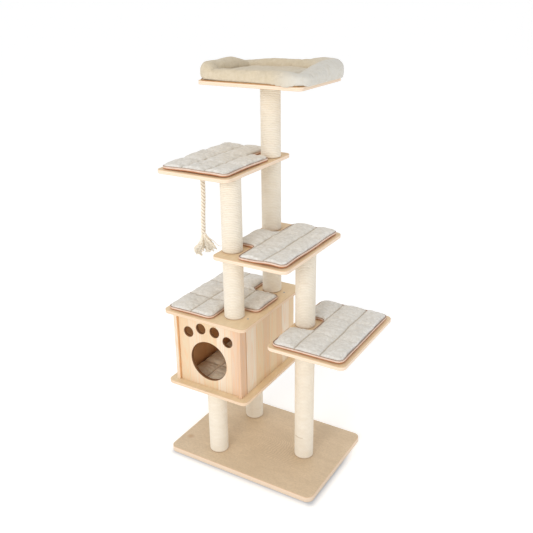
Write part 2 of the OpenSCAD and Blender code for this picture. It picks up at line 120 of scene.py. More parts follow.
class Look:
    """A material being built. Each call adds one node and returns the socket that holds its result."""

    def __init__(self, name, roughness, **constants):
        self.material = bpy.data.materials.new(name)
        self.material.use_nodes = True
        self.tree = self.material.node_tree
        self.shader = self.tree.nodes["Principled BSDF"]
        self.shader.inputs["Roughness"].default_value = roughness
        for socket, value in constants.items():
            self.shader.inputs[socket.replace("_", " ")].default_value = value

    def add(self, kind, inputs=None, output=0, **settings):
        node = self.tree.nodes.new(kind)
        for name, value in settings.items():
            setattr(node, name, value)
        for key, value in (inputs or {}).items():
            if isinstance(value, bpy.types.NodeSocket):
                self.tree.links.new(value, node.inputs[key])
            else:
                node.inputs[key].default_value = value
        return node.outputs[output]

    def place(self, scale):
        """Texture coordinates in metres, times scale along each axis."""
        where = self.add("ShaderNodeTexCoord", output="Object")
        return self.add("ShaderNodeMapping", {"Vector": where, "Scale": scale})

    def axis(self, index, kind="Object"):
        where = self.add("ShaderNodeTexCoord", output=kind)
        return self.add("ShaderNodeSeparateXYZ", {"Vector": where}, output=index)

    def stored(self, name):
        """A value kept on the mesh's points."""
        return self.add("ShaderNodeAttribute", output="Fac", attribute_name=name)

    def leant(self, angle):
        """The wrap map, turned so that its x runs across a twist or a twill."""
        where = self.add("ShaderNodeUVMap", uv_map="wrap")
        return self.add("ShaderNodeMapping", {"Vector": where, "Rotation": (0, 0, angle)})

    def noise(self, where, detail=3.0, rough=0.5, warp=0.0):
        """Noise over a socket, or over the object in cells per metre along each axis."""
        where = where if isinstance(where, bpy.types.NodeSocket) else self.place(where)
        values = {"Vector": where, "Scale": 1.0, "Detail": detail, "Roughness": rough, "Distortion": warp}
        return self.add("ShaderNodeTexNoise", values)

    def math(self, kind, a, b=0.0):
        return self.add("ShaderNodeMath", {0: a, 1: b}, operation=kind)

    def sum(self, a, b):
        return self.math("ADD", a, b)

    def times(self, a, b):
        return self.math("MULTIPLY", a, b)

    def wave(self, value, turns):
        """A smooth wave from 0 to 1 that repeats turns times as value grows by 1."""
        swing = self.math("SINE", self.times(value, turns * 2 * math.pi))
        return self.add("ShaderNodeMapRange", {"Value": swing, "From Min": -1.0})

    def ramp(self, value, stops, kind="LINEAR"):
        node = self.tree.nodes.new("ShaderNodeValToRGB")
        self.tree.links.new(value, node.inputs[0])
        node.color_ramp.interpolation = kind
        for k, (position, shade) in enumerate(stops):
            element = node.color_ramp.elements[k] if k < 2 else node.color_ramp.elements.new(position)
            element.position = position
            element.color = shade
        return node.outputs[0]

    def mix(self, amount, a, b):
        return self.add("ShaderNodeMix", {0: amount, 6: a, 7: b}, output=2, data_type="RGBA")

    def stain(self, tone, mask, amount, shade):
        """The tone, with amount of another shade laid in where the mask is 1."""
        return self.mix(self.times(mask, amount), tone, shade)

    def limits(self, value, low, high, to_low=0.0, to_high=1.0):
        values = {"Value": value, "From Min": low, "From Max": high, "To Min": to_low, "To Max": to_high}
        return self.add("ShaderNodeMapRange", values)

    def finish(self, base, height=None, strength=0.3, depth=0.0005, rough=None):
        self.tree.links.new(base, self.shader.inputs["Base Color"])
        if height is not None:
            values = {"Height": height, "Strength": strength, "Distance": depth}
            self.tree.links.new(self.add("ShaderNodeBump", values), self.shader.inputs["Normal"])
        if rough is not None:
            self.tree.links.new(rough, self.shader.inputs["Roughness"])
        return self.material


def stretched(along, fine, coarse):
    """Scales that draw a pattern out along one axis: coarse along it and fine across it."""
    return [coarse if i == along else fine for i in range(3)]


def distance_from(look, x, y):
    """Distance of each point of an object from an upright line through (x, y), as a socket."""
    squares = []
    for index, middle in ((0, x), (1, y)):
        off = look.math("SUBTRACT", look.axis(index), middle)
        squares.append(look.times(off, off))
    return look.math("POWER", look.sum(*squares), 0.5)


def flat_sawn(look, tone, darker):
    """The base's broad leaf of veneer: speckle, nested arches and a small knot near one corner."""
    speckle = look.noise([110, 150, 110], 4, 0.7)
    tone = look.stain(tone, look.limits(speckle, 0.42, 0.66), 0.60, darker)
    x, y = ARCHES_AT
    off = look.math("SUBTRACT", look.axis(1), y)
    bow = look.times(look.times(off, off), 5.0)
    warp = look.times(look.noise([9, 14, 9], 3, 0.5), 0.07)
    arches = look.wave(look.sum(look.sum(look.axis(0), bow), warp), 75)
    near = look.limits(distance_from(look, x, y), 0.17, 0.04)
    strength = look.times(look.times(look.limits(arches, 0.45, 1.0), near), 0.85)
    tone = look.mix(strength, tone, darker)
    spot = look.sum(distance_from(look, *KNOT_AT), look.times(speckle, 0.012))
    return look.mix(look.limits(spot, 0.027, 0.011, 0.0, 0.45), tone, colour(178, 130, 86))


def veneer(name, pale, deep, along, figure=0.5, streaks=1.0, leaf=None):
    """A plywood face: arched figure lines, blotches and fine fibres along one axis."""
    look = Look(name, 0.5)
    blotch = look.noise(stretched(along, 16, 7), 5, 0.62, 0.5)
    swell = look.noise(stretched(along, 7, 1.6), 2, 0.45, 0.2)
    arches = look.wave(swell, 16)
    fibres = look.noise(stretched(along, 900, 22), 4, 0.6)
    pores = look.noise(stretched(along, 420, 14), 2, 0.5)
    tone = look.mix(look.limits(blotch, 0.3, 0.7), pale, deep)
    darker = shaded(deep, 0.86)
    tone = look.stain(tone, look.limits(arches, 0.55, 1.0), 0.34 * figure, darker)
    tone = look.stain(tone, look.limits(fibres, 0.45, 0.75), 0.32 * streaks, darker)
    pore = shaded(darker, 0.7)
    tone = look.stain(tone, look.limits(pores, 0.66, 0.74), 0.30 * streaks, pore)
    if leaf is not None:
        tone = leaf(look, tone, darker)
    rough = look.limits(fibres, 0.3, 0.7, 0.42, 0.6)
    return look.finish(tone, fibres, 0.25, 0.0004, rough)


def ply_edge(name, plies, pale, deep):
    """A sanded plywood edge: pale plies with thin darker glue lines, and a golden-brown band along its top."""
    look = Look(name, 0.55)
    up = look.axis(2, "Generated")
    wobble = look.noise([30, 30, 30], 2)
    level = look.sum(up, look.times(wobble, 0.02))
    layer = look.wave(level, plies / 2)
    streaks = look.noise([60, 60, 1400], 3, 0.6)
    tone = look.mix(look.limits(layer, 0.1, 0.9), pale, deep)
    line = look.limits(look.wave(level, plies), 0.93, 1.0)
    tone = look.stain(tone, line, 0.45, colour(205, 168, 128))
    tone = look.stain(tone, look.limits(streaks, 0.5, 0.8), 0.25, colour(214, 184, 146))
    # A golden-brown band, strongest towards the top of the edge.
    tone = look.mix(look.limits(up, 0.86, 0.97, 0.0, 0.4), tone, colour(206, 160, 108))
    return look.finish(tone, streaks, 0.2, 0.0003)


def staves(name, across, start, width, tints, strong=None):
    """Edge-glued pine: each stave has its own tint, growth lines and fibres run up, with fine glue joints.

    One wide dark line may lie at a share of the width.
    """
    look = Look(name, 0.48)
    share = look.limits(look.axis(across), start, start + width)
    edges = np.cumsum([0.0] + [part for part, _ in tints])
    stops = [(edge / edges[-1], tint) for edge, (_, tint) in zip(edges, tints)]
    tone = look.ramp(share, stops, "CONSTANT")
    swell = look.noise([10, 10, 0.9], 2, 0.5, 0.3)
    rings = look.wave(swell, 26)
    fibres = look.noise([700, 700, 12], 4, 0.6)
    late = shaded(colour(232, 182, 128), 0.98, 0.9, 0.82)
    tone = look.stain(tone, look.limits(rings, 0.35, 1.0), 0.30, late)
    tone = look.stain(tone, look.limits(fibres, 0.45, 0.8), 0.28, late)
    joints = look.ramp(share, joint_stops(edges / edges[-1], 0.0012 / width), "LINEAR")
    tone = look.stain(tone, joints, 0.30, colour(176, 128, 84))
    # A wide dark line at share strong: painted shade on the front panel, a dark joint between staves on the
    # right wall.
    if strong is not None:
        off = look.math("ABSOLUTE", look.math("SUBTRACT", share, strong))
        gap = look.limits(off, 0.0040 / width, 0.0015 / width)
        tone = look.stain(tone, gap, 0.75, colour(176, 116, 66))
    return look.finish(tone, fibres, 0.22, 0.0004, look.limits(fibres, 0.3, 0.7, 0.40, 0.58))


def joint_stops(edges, half):
    """Ramp stops that are white on each inner edge and black elsewhere."""
    black, white = [0, 0, 0, 1], [1, 1, 1, 1]
    stops = [(0.0, black), (1.0, black)]
    for edge in edges[1:-1]:
        stops += [(edge - half, black), (edge, white), (edge + half, black)]
    return stops


def rope_look(name, pale, deep, lean, pitch, marked, drawn):
    """Twisted fibre: its map runs along the rope in x and across it in y, both in metres."""
    look = Look(name, 0.85, Sheen_Weight=0.25, Sheen_Roughness=0.5)
    leant = look.leant(lean)
    twist = look.add("ShaderNodeSeparateXYZ", {"Vector": leant}, output=0)
    marks = look.wave(twist, 1 / pitch)
    hairs = look.add("ShaderNodeMapping", {"Vector": leant, "Scale": (3800, 260, 1)})
    fibres = look.noise(hairs, 3, 0.6)
    drift = look.noise([16, 16, 60], 2, 0.5)
    tone = look.mix(look.limits(drift, 0.25, 0.75), pale, deep)
    shade = shaded(deep, 0.66, 0.58, 0.46)
    tone = look.stain(tone, look.limits(marks, 0.35, 0.0), marked, shade)
    tone = look.stain(tone, look.limits(fibres, 0.5, 0.75), 0.5 * marked, shade)
    # The stored values carry painted shade in grooves and crevices, and one post's real splice mark.
    shade_and_splice = look.stored("painted_shade_and_splice")
    tone = look.stain(tone, shade_and_splice, drawn, shade)
    # Values past 1, round a post's foot, deepen to brown: a painted contact shadow.
    tone = look.mix(look.limits(shade_and_splice, 1.0, 2.0, 0.0, 0.7), tone, colour(158, 112, 66))
    height = look.sum(marks, look.times(fibres, 0.5))
    return look.finish(tone, height, 0.5, 0.0006)


def fabric(name, pale, deep, seam, pile, tuft, sheen, cool_light_past=None):
    """Pile fabric: mottled tone, brushed streaks, tufts in the bump, and painted shade in its seams.

    Past two places along x its tone may turn cooler and silvery: painted cool light.
    """
    look = Look(name, 0.95, Sheen_Weight=sheen, Sheen_Roughness=0.45)
    mottle = look.noise([70, 70, 70], 4, 0.62, 0.6)
    brushed = look.noise([26, 60, 40], 3, 0.55, 1.2)
    tufts = look.noise([tuft] * 3, 3, 0.65)
    fine = look.noise([pile] * 3, 2, 0.6)
    tone = look.mix(look.limits(mottle, 0.34, 0.66), pale, deep)
    if cool_light_past is not None:
        start, end, cool_light_tone = cool_light_past
        # Painted cool light: from start to end along x the tone turns cooler and silvery.
        edge = look.sum(look.axis(0), look.times(mottle, 0.06))
        tone = look.stain(tone, look.limits(edge, start, end), 0.8, cool_light_tone)
    shade = shaded(deep, 0.78)
    tone = look.stain(tone, look.limits(brushed, 0.5, 0.72), 0.30, shade)
    tone = look.stain(tone, look.limits(tufts, 0.52, 0.72), 0.30, shade)
    # The seam attribute lays painted shade, in the seam tone, into the sewn seams.
    painted_shade_mask = look.stored("seam")
    tone = look.stain(tone, painted_shade_mask, 0.75, seam)
    height = look.sum(look.times(tufts, 0.8), look.times(fine, 0.5))
    return look.finish(tone, height, 0.6, 0.0008)


def felt(name, pale, deep, scale=400):
    """A flat matted cloth such as the mats' backing and binding."""
    look = Look(name, 0.9, Sheen_Weight=0.2)
    fine = look.noise([scale] * 3, 3, 0.65)
    broad = look.noise([30] * 3, 3, 0.5)
    matted = look.sum(look.times(fine, 0.6), look.times(broad, 0.4))
    tone = look.mix(look.limits(matted, 0.35, 0.65), pale, deep)
    return look.finish(tone, fine, 0.5, 0.0005)


def twill(name, pale, deep, drawn, pitch=0.0011):
    """A tape woven on the slant, with painted shade where the mesh marks it."""
    look = Look(name, 0.8, Sheen_Weight=0.25)
    ribs = look.wave(look.add("ShaderNodeSeparateXYZ", {"Vector": look.leant(0.9)}, output=0), 1 / pitch)
    worn = look.noise([45] * 3, 3)
    tone = look.mix(look.limits(worn, 0.3, 0.7), pale, deep)
    tone = look.stain(tone, look.limits(ribs, 0.4, 0.0), 0.18, shaded(deep, 0.7))
    painted_shade_mask = look.stored("painted_shade_and_splice")
    tone = look.stain(tone, painted_shade_mask, 0.85, drawn)
    return look.finish(tone, ribs, 0.35, 0.0003)


def zinc(name):
    look = Look(name, 0.3, Metallic=1.0)
    scratch = look.noise([900, 900, 240], 3, 0.6)
    cloud = look.noise([160] * 3, 3)
    tone = look.mix(look.limits(cloud, 0.3, 0.7), colour(150, 156, 166), colour(118, 124, 134))
    return look.finish(tone, scratch, 0.12, 0.0002, look.limits(scratch, 0.3, 0.7, 0.26, 0.42))


def card(name):
    look = Look(name, 0.85)
    fibre = look.noise([240, 240, 90], 4, 0.6)
    tone = look.mix(look.limits(fibre, 0.35, 0.65), colour(190, 158, 116), colour(168, 134, 94))
    return look.finish(tone, fibre, 0.3, 0.0003)


def hooks(name):
    look = Look(name, 0.7)
    loops = look.add("ShaderNodeTexVoronoi", {"Vector": look.place([700] * 3), "Scale": 1.0})
    tone = look.mix(look.limits(loops, 0.1, 0.6), colour(226, 222, 214), colour(200, 195, 185))
    return look.finish(tone, loops, 0.6, 0.0006)


base_face = veneer("base_veneer", colour(224, 203, 174), colour(209, 187, 157), 0, 0.25, 0.5, flat_sawn)
shelf_face = veneer("shelf_veneer", colour(234, 210, 174), colour(220, 192, 152), 1, 0.4)
roof_face = veneer("roof_veneer", colour(237, 215, 180), colour(226, 201, 162), 1, 0.4)
top_face = veneer("top_veneer", colour(236, 211, 168), colour(222, 192, 145), 0, 0.4)
base_edge = ply_edge("base_ply", 9, colour(233, 213, 192), colour(221, 197, 170))
board_edge = ply_edge("board_ply", 5, colour(240, 220, 199), colour(229, 204, 178))
cabin_edge = ply_edge("cabin_ply", 5, colour(232, 209, 183), colour(219, 190, 158))

CREAM, HONEY, BLUSH = colour(224, 211, 191), colour(219, 198, 166), colour(217, 192, 168)
SAND, WARM = colour(217, 196, 162), colour(223, 204, 178)
DUSK, ROSE = colour(214, 186, 152), colour(212, 180, 152)
FRONT_STAVES = [(52, HONEY), (66, WARM), (74, HONEY), (40, CREAM), (30, WARM), (37, BLUSH)]
SIDE_STAVES = [
    (44, ROSE), (74, CREAM), (60, SAND), (50, DUSK), (62, SAND), (46, DUSK), (60, CREAM), (46, SAND),
]
LEFT_STAVES = [(44, CREAM)] + SIDE_STAVES[:0:-1]
slot_of_wall = {
    # The front panel's dark line at its left end is painted shade in the gap beside the left wall; the right
    # wall's lies on a joint between staves.
    "condo_front_panel": staves("front_staves", 0, -0.2955, 0.299, FRONT_STAVES, 0.004),
    "condo_right_wall": staves("right_staves", 1, -0.221, 0.442, SIDE_STAVES, 0.0995),
    "condo_left_wall": staves("left_staves", 1, -0.221, 0.442, LEFT_STAVES),
    "condo_back_wall": staves("back_staves", 0, -0.2955, 0.299, FRONT_STAVES[::-1]),
}
cabin_wood = veneer("cabin_wood", colour(252, 208, 156), colour(240, 188, 132), 2, 0.4)
hole_rim = veneer("hole_rim", colour(150, 108, 72), colour(124, 86, 54), 1, 0.3)
sisal_look = rope_look("sisal_fibre", colour(238, 230, 216), colour(232, 222, 205), 0.62, 0.0046, 0.14, 0.42)
cotton_look = rope_look("cotton_yarn", colour(254, 249, 238), colour(248, 239, 222), 0.35, 0.0022, 0.22, 0.95)
plush = fabric(
    "linen_plush", colour(230, 228, 223), colour(212, 208, 200), colour(168, 152, 128), 2600, 900, 0.12
)
# The cabin's cushion is a brighter, yellower copy of the plush: painted warm light against the shade in the
# cabin.
cabin_plush = fabric(
    "cabin_plush", colour(254, 242, 218), colour(244, 224, 192), colour(176, 142, 104), 2600, 900, 0.25
)
# The velvet's right end gets a cooler, silvery tone: painted cool light.
velvet = fabric(
    "cream_velvet", colour(210, 197, 174), colour(202, 188, 162), colour(178, 158, 130), 3200, 1500, 0.15,
    cool_light_past=(0.08, 0.20, colour(209, 208, 203)),
)
binding_cloth = twill("rose_binding", colour(228, 207, 192), colour(217, 192, 175), colour(140, 98, 68))
piping_cloth = twill("ochre_piping", colour(196, 146, 88), colour(170, 116, 62), colour(140, 98, 68))
backing_cloth = felt("brown_felt", colour(206, 136, 84), colour(182, 112, 64))
thread_look = felt("seam_thread", colour(214, 200, 172), colour(190, 172, 142), 900)
steel = zinc("zinc_plate")
core_card = card("kraft_card")
tape_look = hooks("hook_tape")
plug_face = veneer("plug_wood", colour(224, 200, 160), colour(205, 176, 134), 2, 0.3)


# ---- meshes ----

def new_object(name, data):
    holder = bpy.data.objects.new(name, data)
    bpy.context.scene.collection.objects.link(holder)
    return holder


def new_mesh(name, points, faces):
    mesh = bpy.data.meshes.new(name)
    mesh.from_pydata([tuple(p) for p in points], [], [tuple(f) for f in faces])
    return mesh


def make_piece(name, points, faces, materials, body, smooth=True):
    """A mesh object in the frame's metres, which rides on a body."""
    mesh = new_mesh(name, points, faces)
    mesh.validate()
    return place_mesh(name, mesh, materials, body, smooth)


def place_mesh(name, mesh, materials, body, smooth=True):
    piece = new_object(name, mesh)
    for material in materials:
        mesh.materials.append(material)
    mesh.polygons.foreach_set("use_smooth", [smooth] * len(mesh.polygons))
    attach(piece, body)
    return piece


def coordinates(mesh):
    points = np.zeros(len(mesh.vertices) * 3)
    mesh.vertices.foreach_get("co", points)
    return points.reshape(-1, 3)


def set_coordinates(mesh, points):
    mesh.vertices.foreach_set("co", points.ravel())
    mesh.update()


def sharpen(piece, degrees=35):
    """Shades smoothly but keeps hard edges, and keeps flats flat beside eased edges."""
    piece.data.set_sharp_from_angle(angle=math.radians(degrees))
    weigh = piece.modifiers.new("Flats", "WEIGHTED_NORMAL")
    weigh.keep_sharp = True


def middle_of(node):
    low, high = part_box(node)
    return (low + high) / 2


# ---- boards ----

def outer_edge(edge, low, high, near=0.011):
    """True where an edge lies on a board's outline and not at one of its holes."""
    spot = (edge.verts[0].co + edge.verts[1].co) / 2
    gaps = [abs(spot[i] - side[i]) for i in (0, 1) for side in (low, high)]
    return min(gaps) < near


def eased_board(node, faces, edges, soft=0.0018):
    """A copy of a CAD board with its arrises eased, its veneer on top and its plies at the edge."""
    low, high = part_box(node)
    shape = bmesh.new()
    shape.from_mesh(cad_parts[node].data)
    bmesh.ops.remove_doubles(shape, verts=shape.verts, dist=1e-6)
    bmesh.ops.dissolve_limit(shape, angle_limit=0.02, verts=shape.verts, edges=shape.edges)
    sharp = [
        e for e in shape.edges
        if len(e.link_faces) == 2 and e.calc_face_angle(0) > 0.9 and outer_edge(e, low, high)
    ]
    bmesh.ops.bevel(shape, geom=sharp, offset=soft, segments=3, profile=0.5, affect="EDGES")
    mesh = bpy.data.meshes.new(node + "_eased")
    shape.to_mesh(mesh)
    shape.free()
    bare = new_mesh(node + "_eased", [v.co for v in mesh.vertices], [p.vertices for p in mesh.polygons])
    piece = place_mesh(node + "_eased", bare, [faces, edges], "tree")
    bare.polygons.foreach_set("material_index", [int(abs(p.normal.z) < 0.8) for p in bare.polygons])
    sharpen(piece)
    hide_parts(node)
    return piece


def line_inside(piece):
    """Gives the faces that look into the cabin their own brighter, more orange wood."""
    low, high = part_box("condo_cushion")
    middle = (low + high) / 2 + Vector((0, 0, 0.15))
    piece.data.materials.append(cabin_wood)
    for face in piece.data.polygons:
        inward = face.normal.dot((middle - face.center).normalized())
        if inward > 0.5 and abs(face.normal.z) < 0.5:
            face.material_index = len(piece.data.materials) - 1


def darken_holes(panel):
    """Gives the cut edges of the door and the paw holes a dark brown tone."""
    panel.data.materials.append(hole_rim)
    holes = [DOOR] + [(x, z, PAW_R) for x, z in PAW_HOLES]
    for face in panel.data.polygons:
        spot = face.center
        cut = any(math.dist((spot.x, spot.z), (x, z)) < r + 0.0012 for x, z, r in holes)
        if cut and abs(face.normal.y) < 0.97:
            face.material_index = len(panel.data.materials) - 1


def circle(x, y, r, count=96):
    turns = np.linspace(0, 2 * math.pi, count, endpoint=False)
    return [(x + r * math.cos(t), y + r * math.sin(t)) for t in turns]


def holed_panel(node, look, soft=0.002):
    """The condo's front: a filled outline with its door and paw holes, eased all round, stood on end."""
    low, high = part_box(node)
    curve = bpy.data.curves.new(node, "CURVE")
    curve.dimensions, curve.fill_mode = "2D", "BOTH"
    curve.bevel_depth, curve.bevel_resolution, curve.offset = soft, 3, -soft
    curve.extrude = (high.y - low.y) / 2 - soft
    rings = [[(low.x, low.z), (high.x, low.z), (high.x, high.z), (low.x, high.z)], circle(*DOOR)]
    rings += [circle(x, z, PAW_R, 64) for x, z in PAW_HOLES]
    for ring in rings:
        spline = curve.splines.new("POLY")
        spline.points.add(len(ring) - 1)
        spline.use_cyclic_u = True
        for point, (x, z) in zip(spline.points, ring):
            point.co = (x, z, 0, 1)
    holder = new_object(node, curve)
    mesh = bpy.data.meshes.new_from_object(holder.evaluated_get(bpy.context.evaluated_depsgraph_get()))
    bpy.data.objects.remove(holder)
    flat = coordinates(mesh)
    set_coordinates(mesh, np.stack([flat[:, 0], (low.y + high.y) / 2 - flat[:, 2], flat[:, 1]], axis=1))
    shape = bmesh.new()
    shape.from_mesh(mesh)
    bmesh.ops.remove_doubles(shape, verts=shape.verts, dist=1e-5)
    shape.to_mesh(mesh)
    shape.free()
    mesh.materials.clear()
    piece = place_mesh(node + "_eased", mesh, [look], "tree")
    sharpen(piece)
    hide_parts(node)
    return piece


def build_boards():
    eased_board("base_board", base_face, base_edge, 0.003)
    for node in ("right_shelf", "middle_shelf", "left_shelf"):
        eased_board(node, shelf_face, board_edge)
    for node in ("condo_floor", "condo_roof"):
        eased_board(node, roof_face, cabin_edge)
    eased_board("top_board", top_face, board_edge)
    for node, look in slot_of_wall.items():
        if node == "condo_front_panel":
            panel = holed_panel(node, look)
            line_inside(panel)
            darken_holes(panel)
        else:
            line_inside(eased_board(node, look, look, 0.0012))


# ---- sisal posts ----

def wind_sisal(post):
    """One rope wound down a post. Its rows follow the rope, so the grooves are a true helix."""
    low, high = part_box(post + "_sisal")
    core_low, core_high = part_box(post + "_core")
    outer, inner = (high.x - low.x) / 2, (core_high.x - core_low.x) / 2
    centre, tall = (low + high) / 2, high.z - low.z
    turns = round(tall / SISAL_D)
    pitch = tall / turns
    shift = chance.uniform(0, 100)
    rows = np.arange(-2 * WRAP_ROWS, (turns + 1) * WRAP_ROWS + 1)
    row, column = np.meshgrid(rows, np.arange(WRAP_SIDES), indexing="ij")
    angle = 2 * math.pi * column / WRAP_SIDES
    along = row / WRAP_ROWS + column / WRAP_SIDES
    across = (row % WRAP_ROWS) / WRAP_ROWS - 0.5
    spots = np.linspace(-3, turns + 3, 40 * turns)
    wander = np.interp(along, spots, [noise.noise(Vector((a * 0.31 + shift, 0, 0))) for a in spots])
    bulge = np.sqrt(np.clip(1 - (2 * across * 0.96) ** 2, 0.02, 1))
    radius = outer + WRAP_PROUD - SISAL_D / 2 * (1 - bulge) - WRAP_UNEVEN * (1 + wander) / 2
    height = along * pitch + WRAP_UNEVEN * wander
    past = np.maximum(-height, height - tall) / pitch
    sinking = (radius - inner) * np.clip(past * 1.5, 0, 1)
    radius = np.where(past > 0, np.maximum(inner, radius - sinking), radius)
    z = low.z + np.clip(height, 0, tall)
    points = np.stack([centre.x + radius * np.cos(angle), centre.y + radius * np.sin(angle), z], axis=-1)
    # Painted shade in the grooves between turns.
    shade_and_splice = np.clip(1 - bulge, 0, 1) ** 1.5
    # A painted contact shadow round the post's foot.
    shade_and_splice = np.maximum(shade_and_splice, 2.2 * np.clip(1.3 - (z - low.z) / 0.0045, 0, 1))
    # One post also has its real splice mark.
    if post == LAP_POST:
        facing = np.abs((np.degrees(angle) - LAP_ANGLE + 180) % 360 - 180) < 30
        shade_and_splice = np.maximum(shade_and_splice, 1.12 * (facing & (abs(z - LAP_Z) < 0.0030)))
    faces, corners = wrap_faces(len(rows), 2 * math.pi * outer)
    piece = make_wrap(post + "_wrap", points.reshape(-1, 3), faces, corners, shade_and_splice.ravel())
    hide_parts(post + "_sisal")


def wrap_faces(count, girth):
    """Quads between count rows, each of which runs on into the next turn, and their map in metres."""
    r, c = np.meshgrid(np.arange(count - 1), np.arange(WRAP_SIDES), indexing="ij")
    step = np.where(c == WRAP_SIDES - 1, WRAP_ROWS, 0)
    usable = r + step + 1 < count
    r, c, step = r[usable], c[usable], step[usable]
    here, after = r * WRAP_SIDES, (r + step) * WRAP_SIDES + (c + 1) % WRAP_SIDES
    faces = np.stack([here + c, after, after + WRAP_SIDES, here + WRAP_SIDES + c], axis=1)
    turn = (r - 2 * WRAP_ROWS) // WRAP_ROWS
    start, width = turn * girth + c / WRAP_SIDES * girth, girth / WRAP_SIDES
    side, wide = (r % WRAP_ROWS) / WRAP_ROWS * SISAL_D, SISAL_D / WRAP_ROWS
    steps = ((0, 0), (width, 0), (width, wide), (0, wide))
    return faces, np.stack([np.stack([start + u, side + v], 1) for u, v in steps], axis=1)


def make_wrap(name, points, faces, corners, shade_and_splice):
    mesh = new_mesh(name, points.tolist(), faces.tolist())
    store(mesh, "painted_shade_and_splice", shade_and_splice)
    add_map(mesh, corners)
    shape = bmesh.new()
    shape.from_mesh(mesh)
    bmesh.ops.remove_doubles(shape, verts=shape.verts, dist=2e-5)
    bmesh.ops.dissolve_degenerate(shape, edges=shape.edges, dist=1e-6)
    loose = [v for v in shape.verts if not v.link_faces]
    bmesh.ops.delete(shape, geom=loose, context="VERTS")
    shape.to_mesh(mesh)
    shape.free()
    return place_mesh(name, mesh, [sisal_look], "tree")


# ---- outlines and sweeps ----

def rounded_outline(corners, spacing=0.005):
    """Points round a closed outline, anticlockwise, from (x, y, radius) corners that turn by right angles."""
    spots = []
    for k, (x, y, r) in enumerate(corners):
        here = Vector((x, y))
        back = (Vector(corners[k - 1][:2]) - here).normalized()
        ahead = (Vector(corners[(k + 1) % len(corners)][:2]) - here).normalized()
        hub = here + (back + ahead) * r
        first, last = here + back * r - hub, here + ahead * r - hub
        count = max(4, int(r * math.pi / 2 / spacing * 1.5))
        for t in np.linspace(0, math.pi / 2, count):
            spots.append(hub + first * math.cos(t) + last * math.sin(t))
    return even_out(np.array(spots), spacing)


def rounded_box(x0, y0, x1, y1, r, spacing=0.005):
    return rounded_outline([(x0, y0, r), (x1, y0, r), (x1, y1, r), (x0, y1, r)], spacing)


def even_out(points, spacing):
    """The closed line through points, at even steps."""
    loop = np.vstack([points, points[:1]])
    run = np.concatenate([[0], np.cumsum(np.linalg.norm(np.diff(loop, axis=0), axis=1))])
    count = int(run[-1] / spacing)
    at = np.linspace(0, run[-1], count, endpoint=False)
    return np.stack([np.interp(at, run, loop[:, i]) for i in (0, 1)], axis=1)


def outward(points):
    """Unit normals that point out of an anticlockwise loop."""
    along = np.roll(points, -1, axis=0) - np.roll(points, 1, axis=0)
    along /= np.linalg.norm(along, axis=1)[:, None]
    return np.stack([along[:, 1], -along[:, 0]], axis=1)


def grow(points, distance):
    return points + outward(points) * distance


def tube_faces(rows, around, start=0):
    """A closed tube's faces: quads between its rows of points, and a cap at each end."""
    last = (rows - 1) * around
    caps = [range(around)[::-1], range(last, last + around)]
    sides = [(j, (j + 1) % around) for j in range(around)]
    quads = [(k + a, k + b, k + around + b, k + around + a) for k in range(0, last, around) for a, b in sides]
    return [tuple(start + i for i in face) for face in quads + caps]


def ring_faces(rows, around):
    """The quads of a tube bent into a ring, whose last row joins its first."""
    return [
        (i * around + j, (i + 1) % rows * around + j, (i + 1) % rows * around + (j + 1) % around,
         i * around + (j + 1) % around)
        for i in range(rows) for j in range(around)
    ]


def sweep_loop(loop, section):
    """A closed tube: section's (out, up) points round a level loop. Returns points, faces and their map."""
    out = outward(loop)
    run = np.concatenate([[0], np.cumsum(np.linalg.norm(np.roll(loop, -1, axis=0) - loop, axis=1))])
    n, m = len(loop), len(section)
    girth = np.concatenate([[0], np.cumsum([math.dist(section[j], section[(j + 1) % m]) for j in range(m)])])
    points = [(*(loop[i] + out[i] * reach), up) for i in range(n) for reach, up in section]
    uv = [
        corner for u0, u1 in zip(run, run[1:]) for v0, v1 in zip(girth, girth[1:])
        for corner in ((u0, v0), (u1, v0), (u1, v1), (u0, v1))
    ]
    return points, ring_faces(n, m), uv


def rounded_section(width, low, high, r, count=4):
    """A rounded rectangle in (out, up), centred on out = 0."""
    spots = []
    hubs = [
        (width / 2 - r, high - r, 0), (-width / 2 + r, high - r, 1),
        (-width / 2 + r, low + r, 2), (width / 2 - r, low + r, 3),
    ]
    for x, z, quarter in hubs:
        for t in np.linspace(0, math.pi / 2, count):
            turn = t + quarter * math.pi / 2
            spots.append((x + r * math.cos(turn), z + r * math.sin(turn)))
    return spots


def add_map(mesh, uv):
    layer = mesh.uv_layers.new(name="wrap")
    layer.data.foreach_set("uv", np.array(uv, float).reshape(-1))


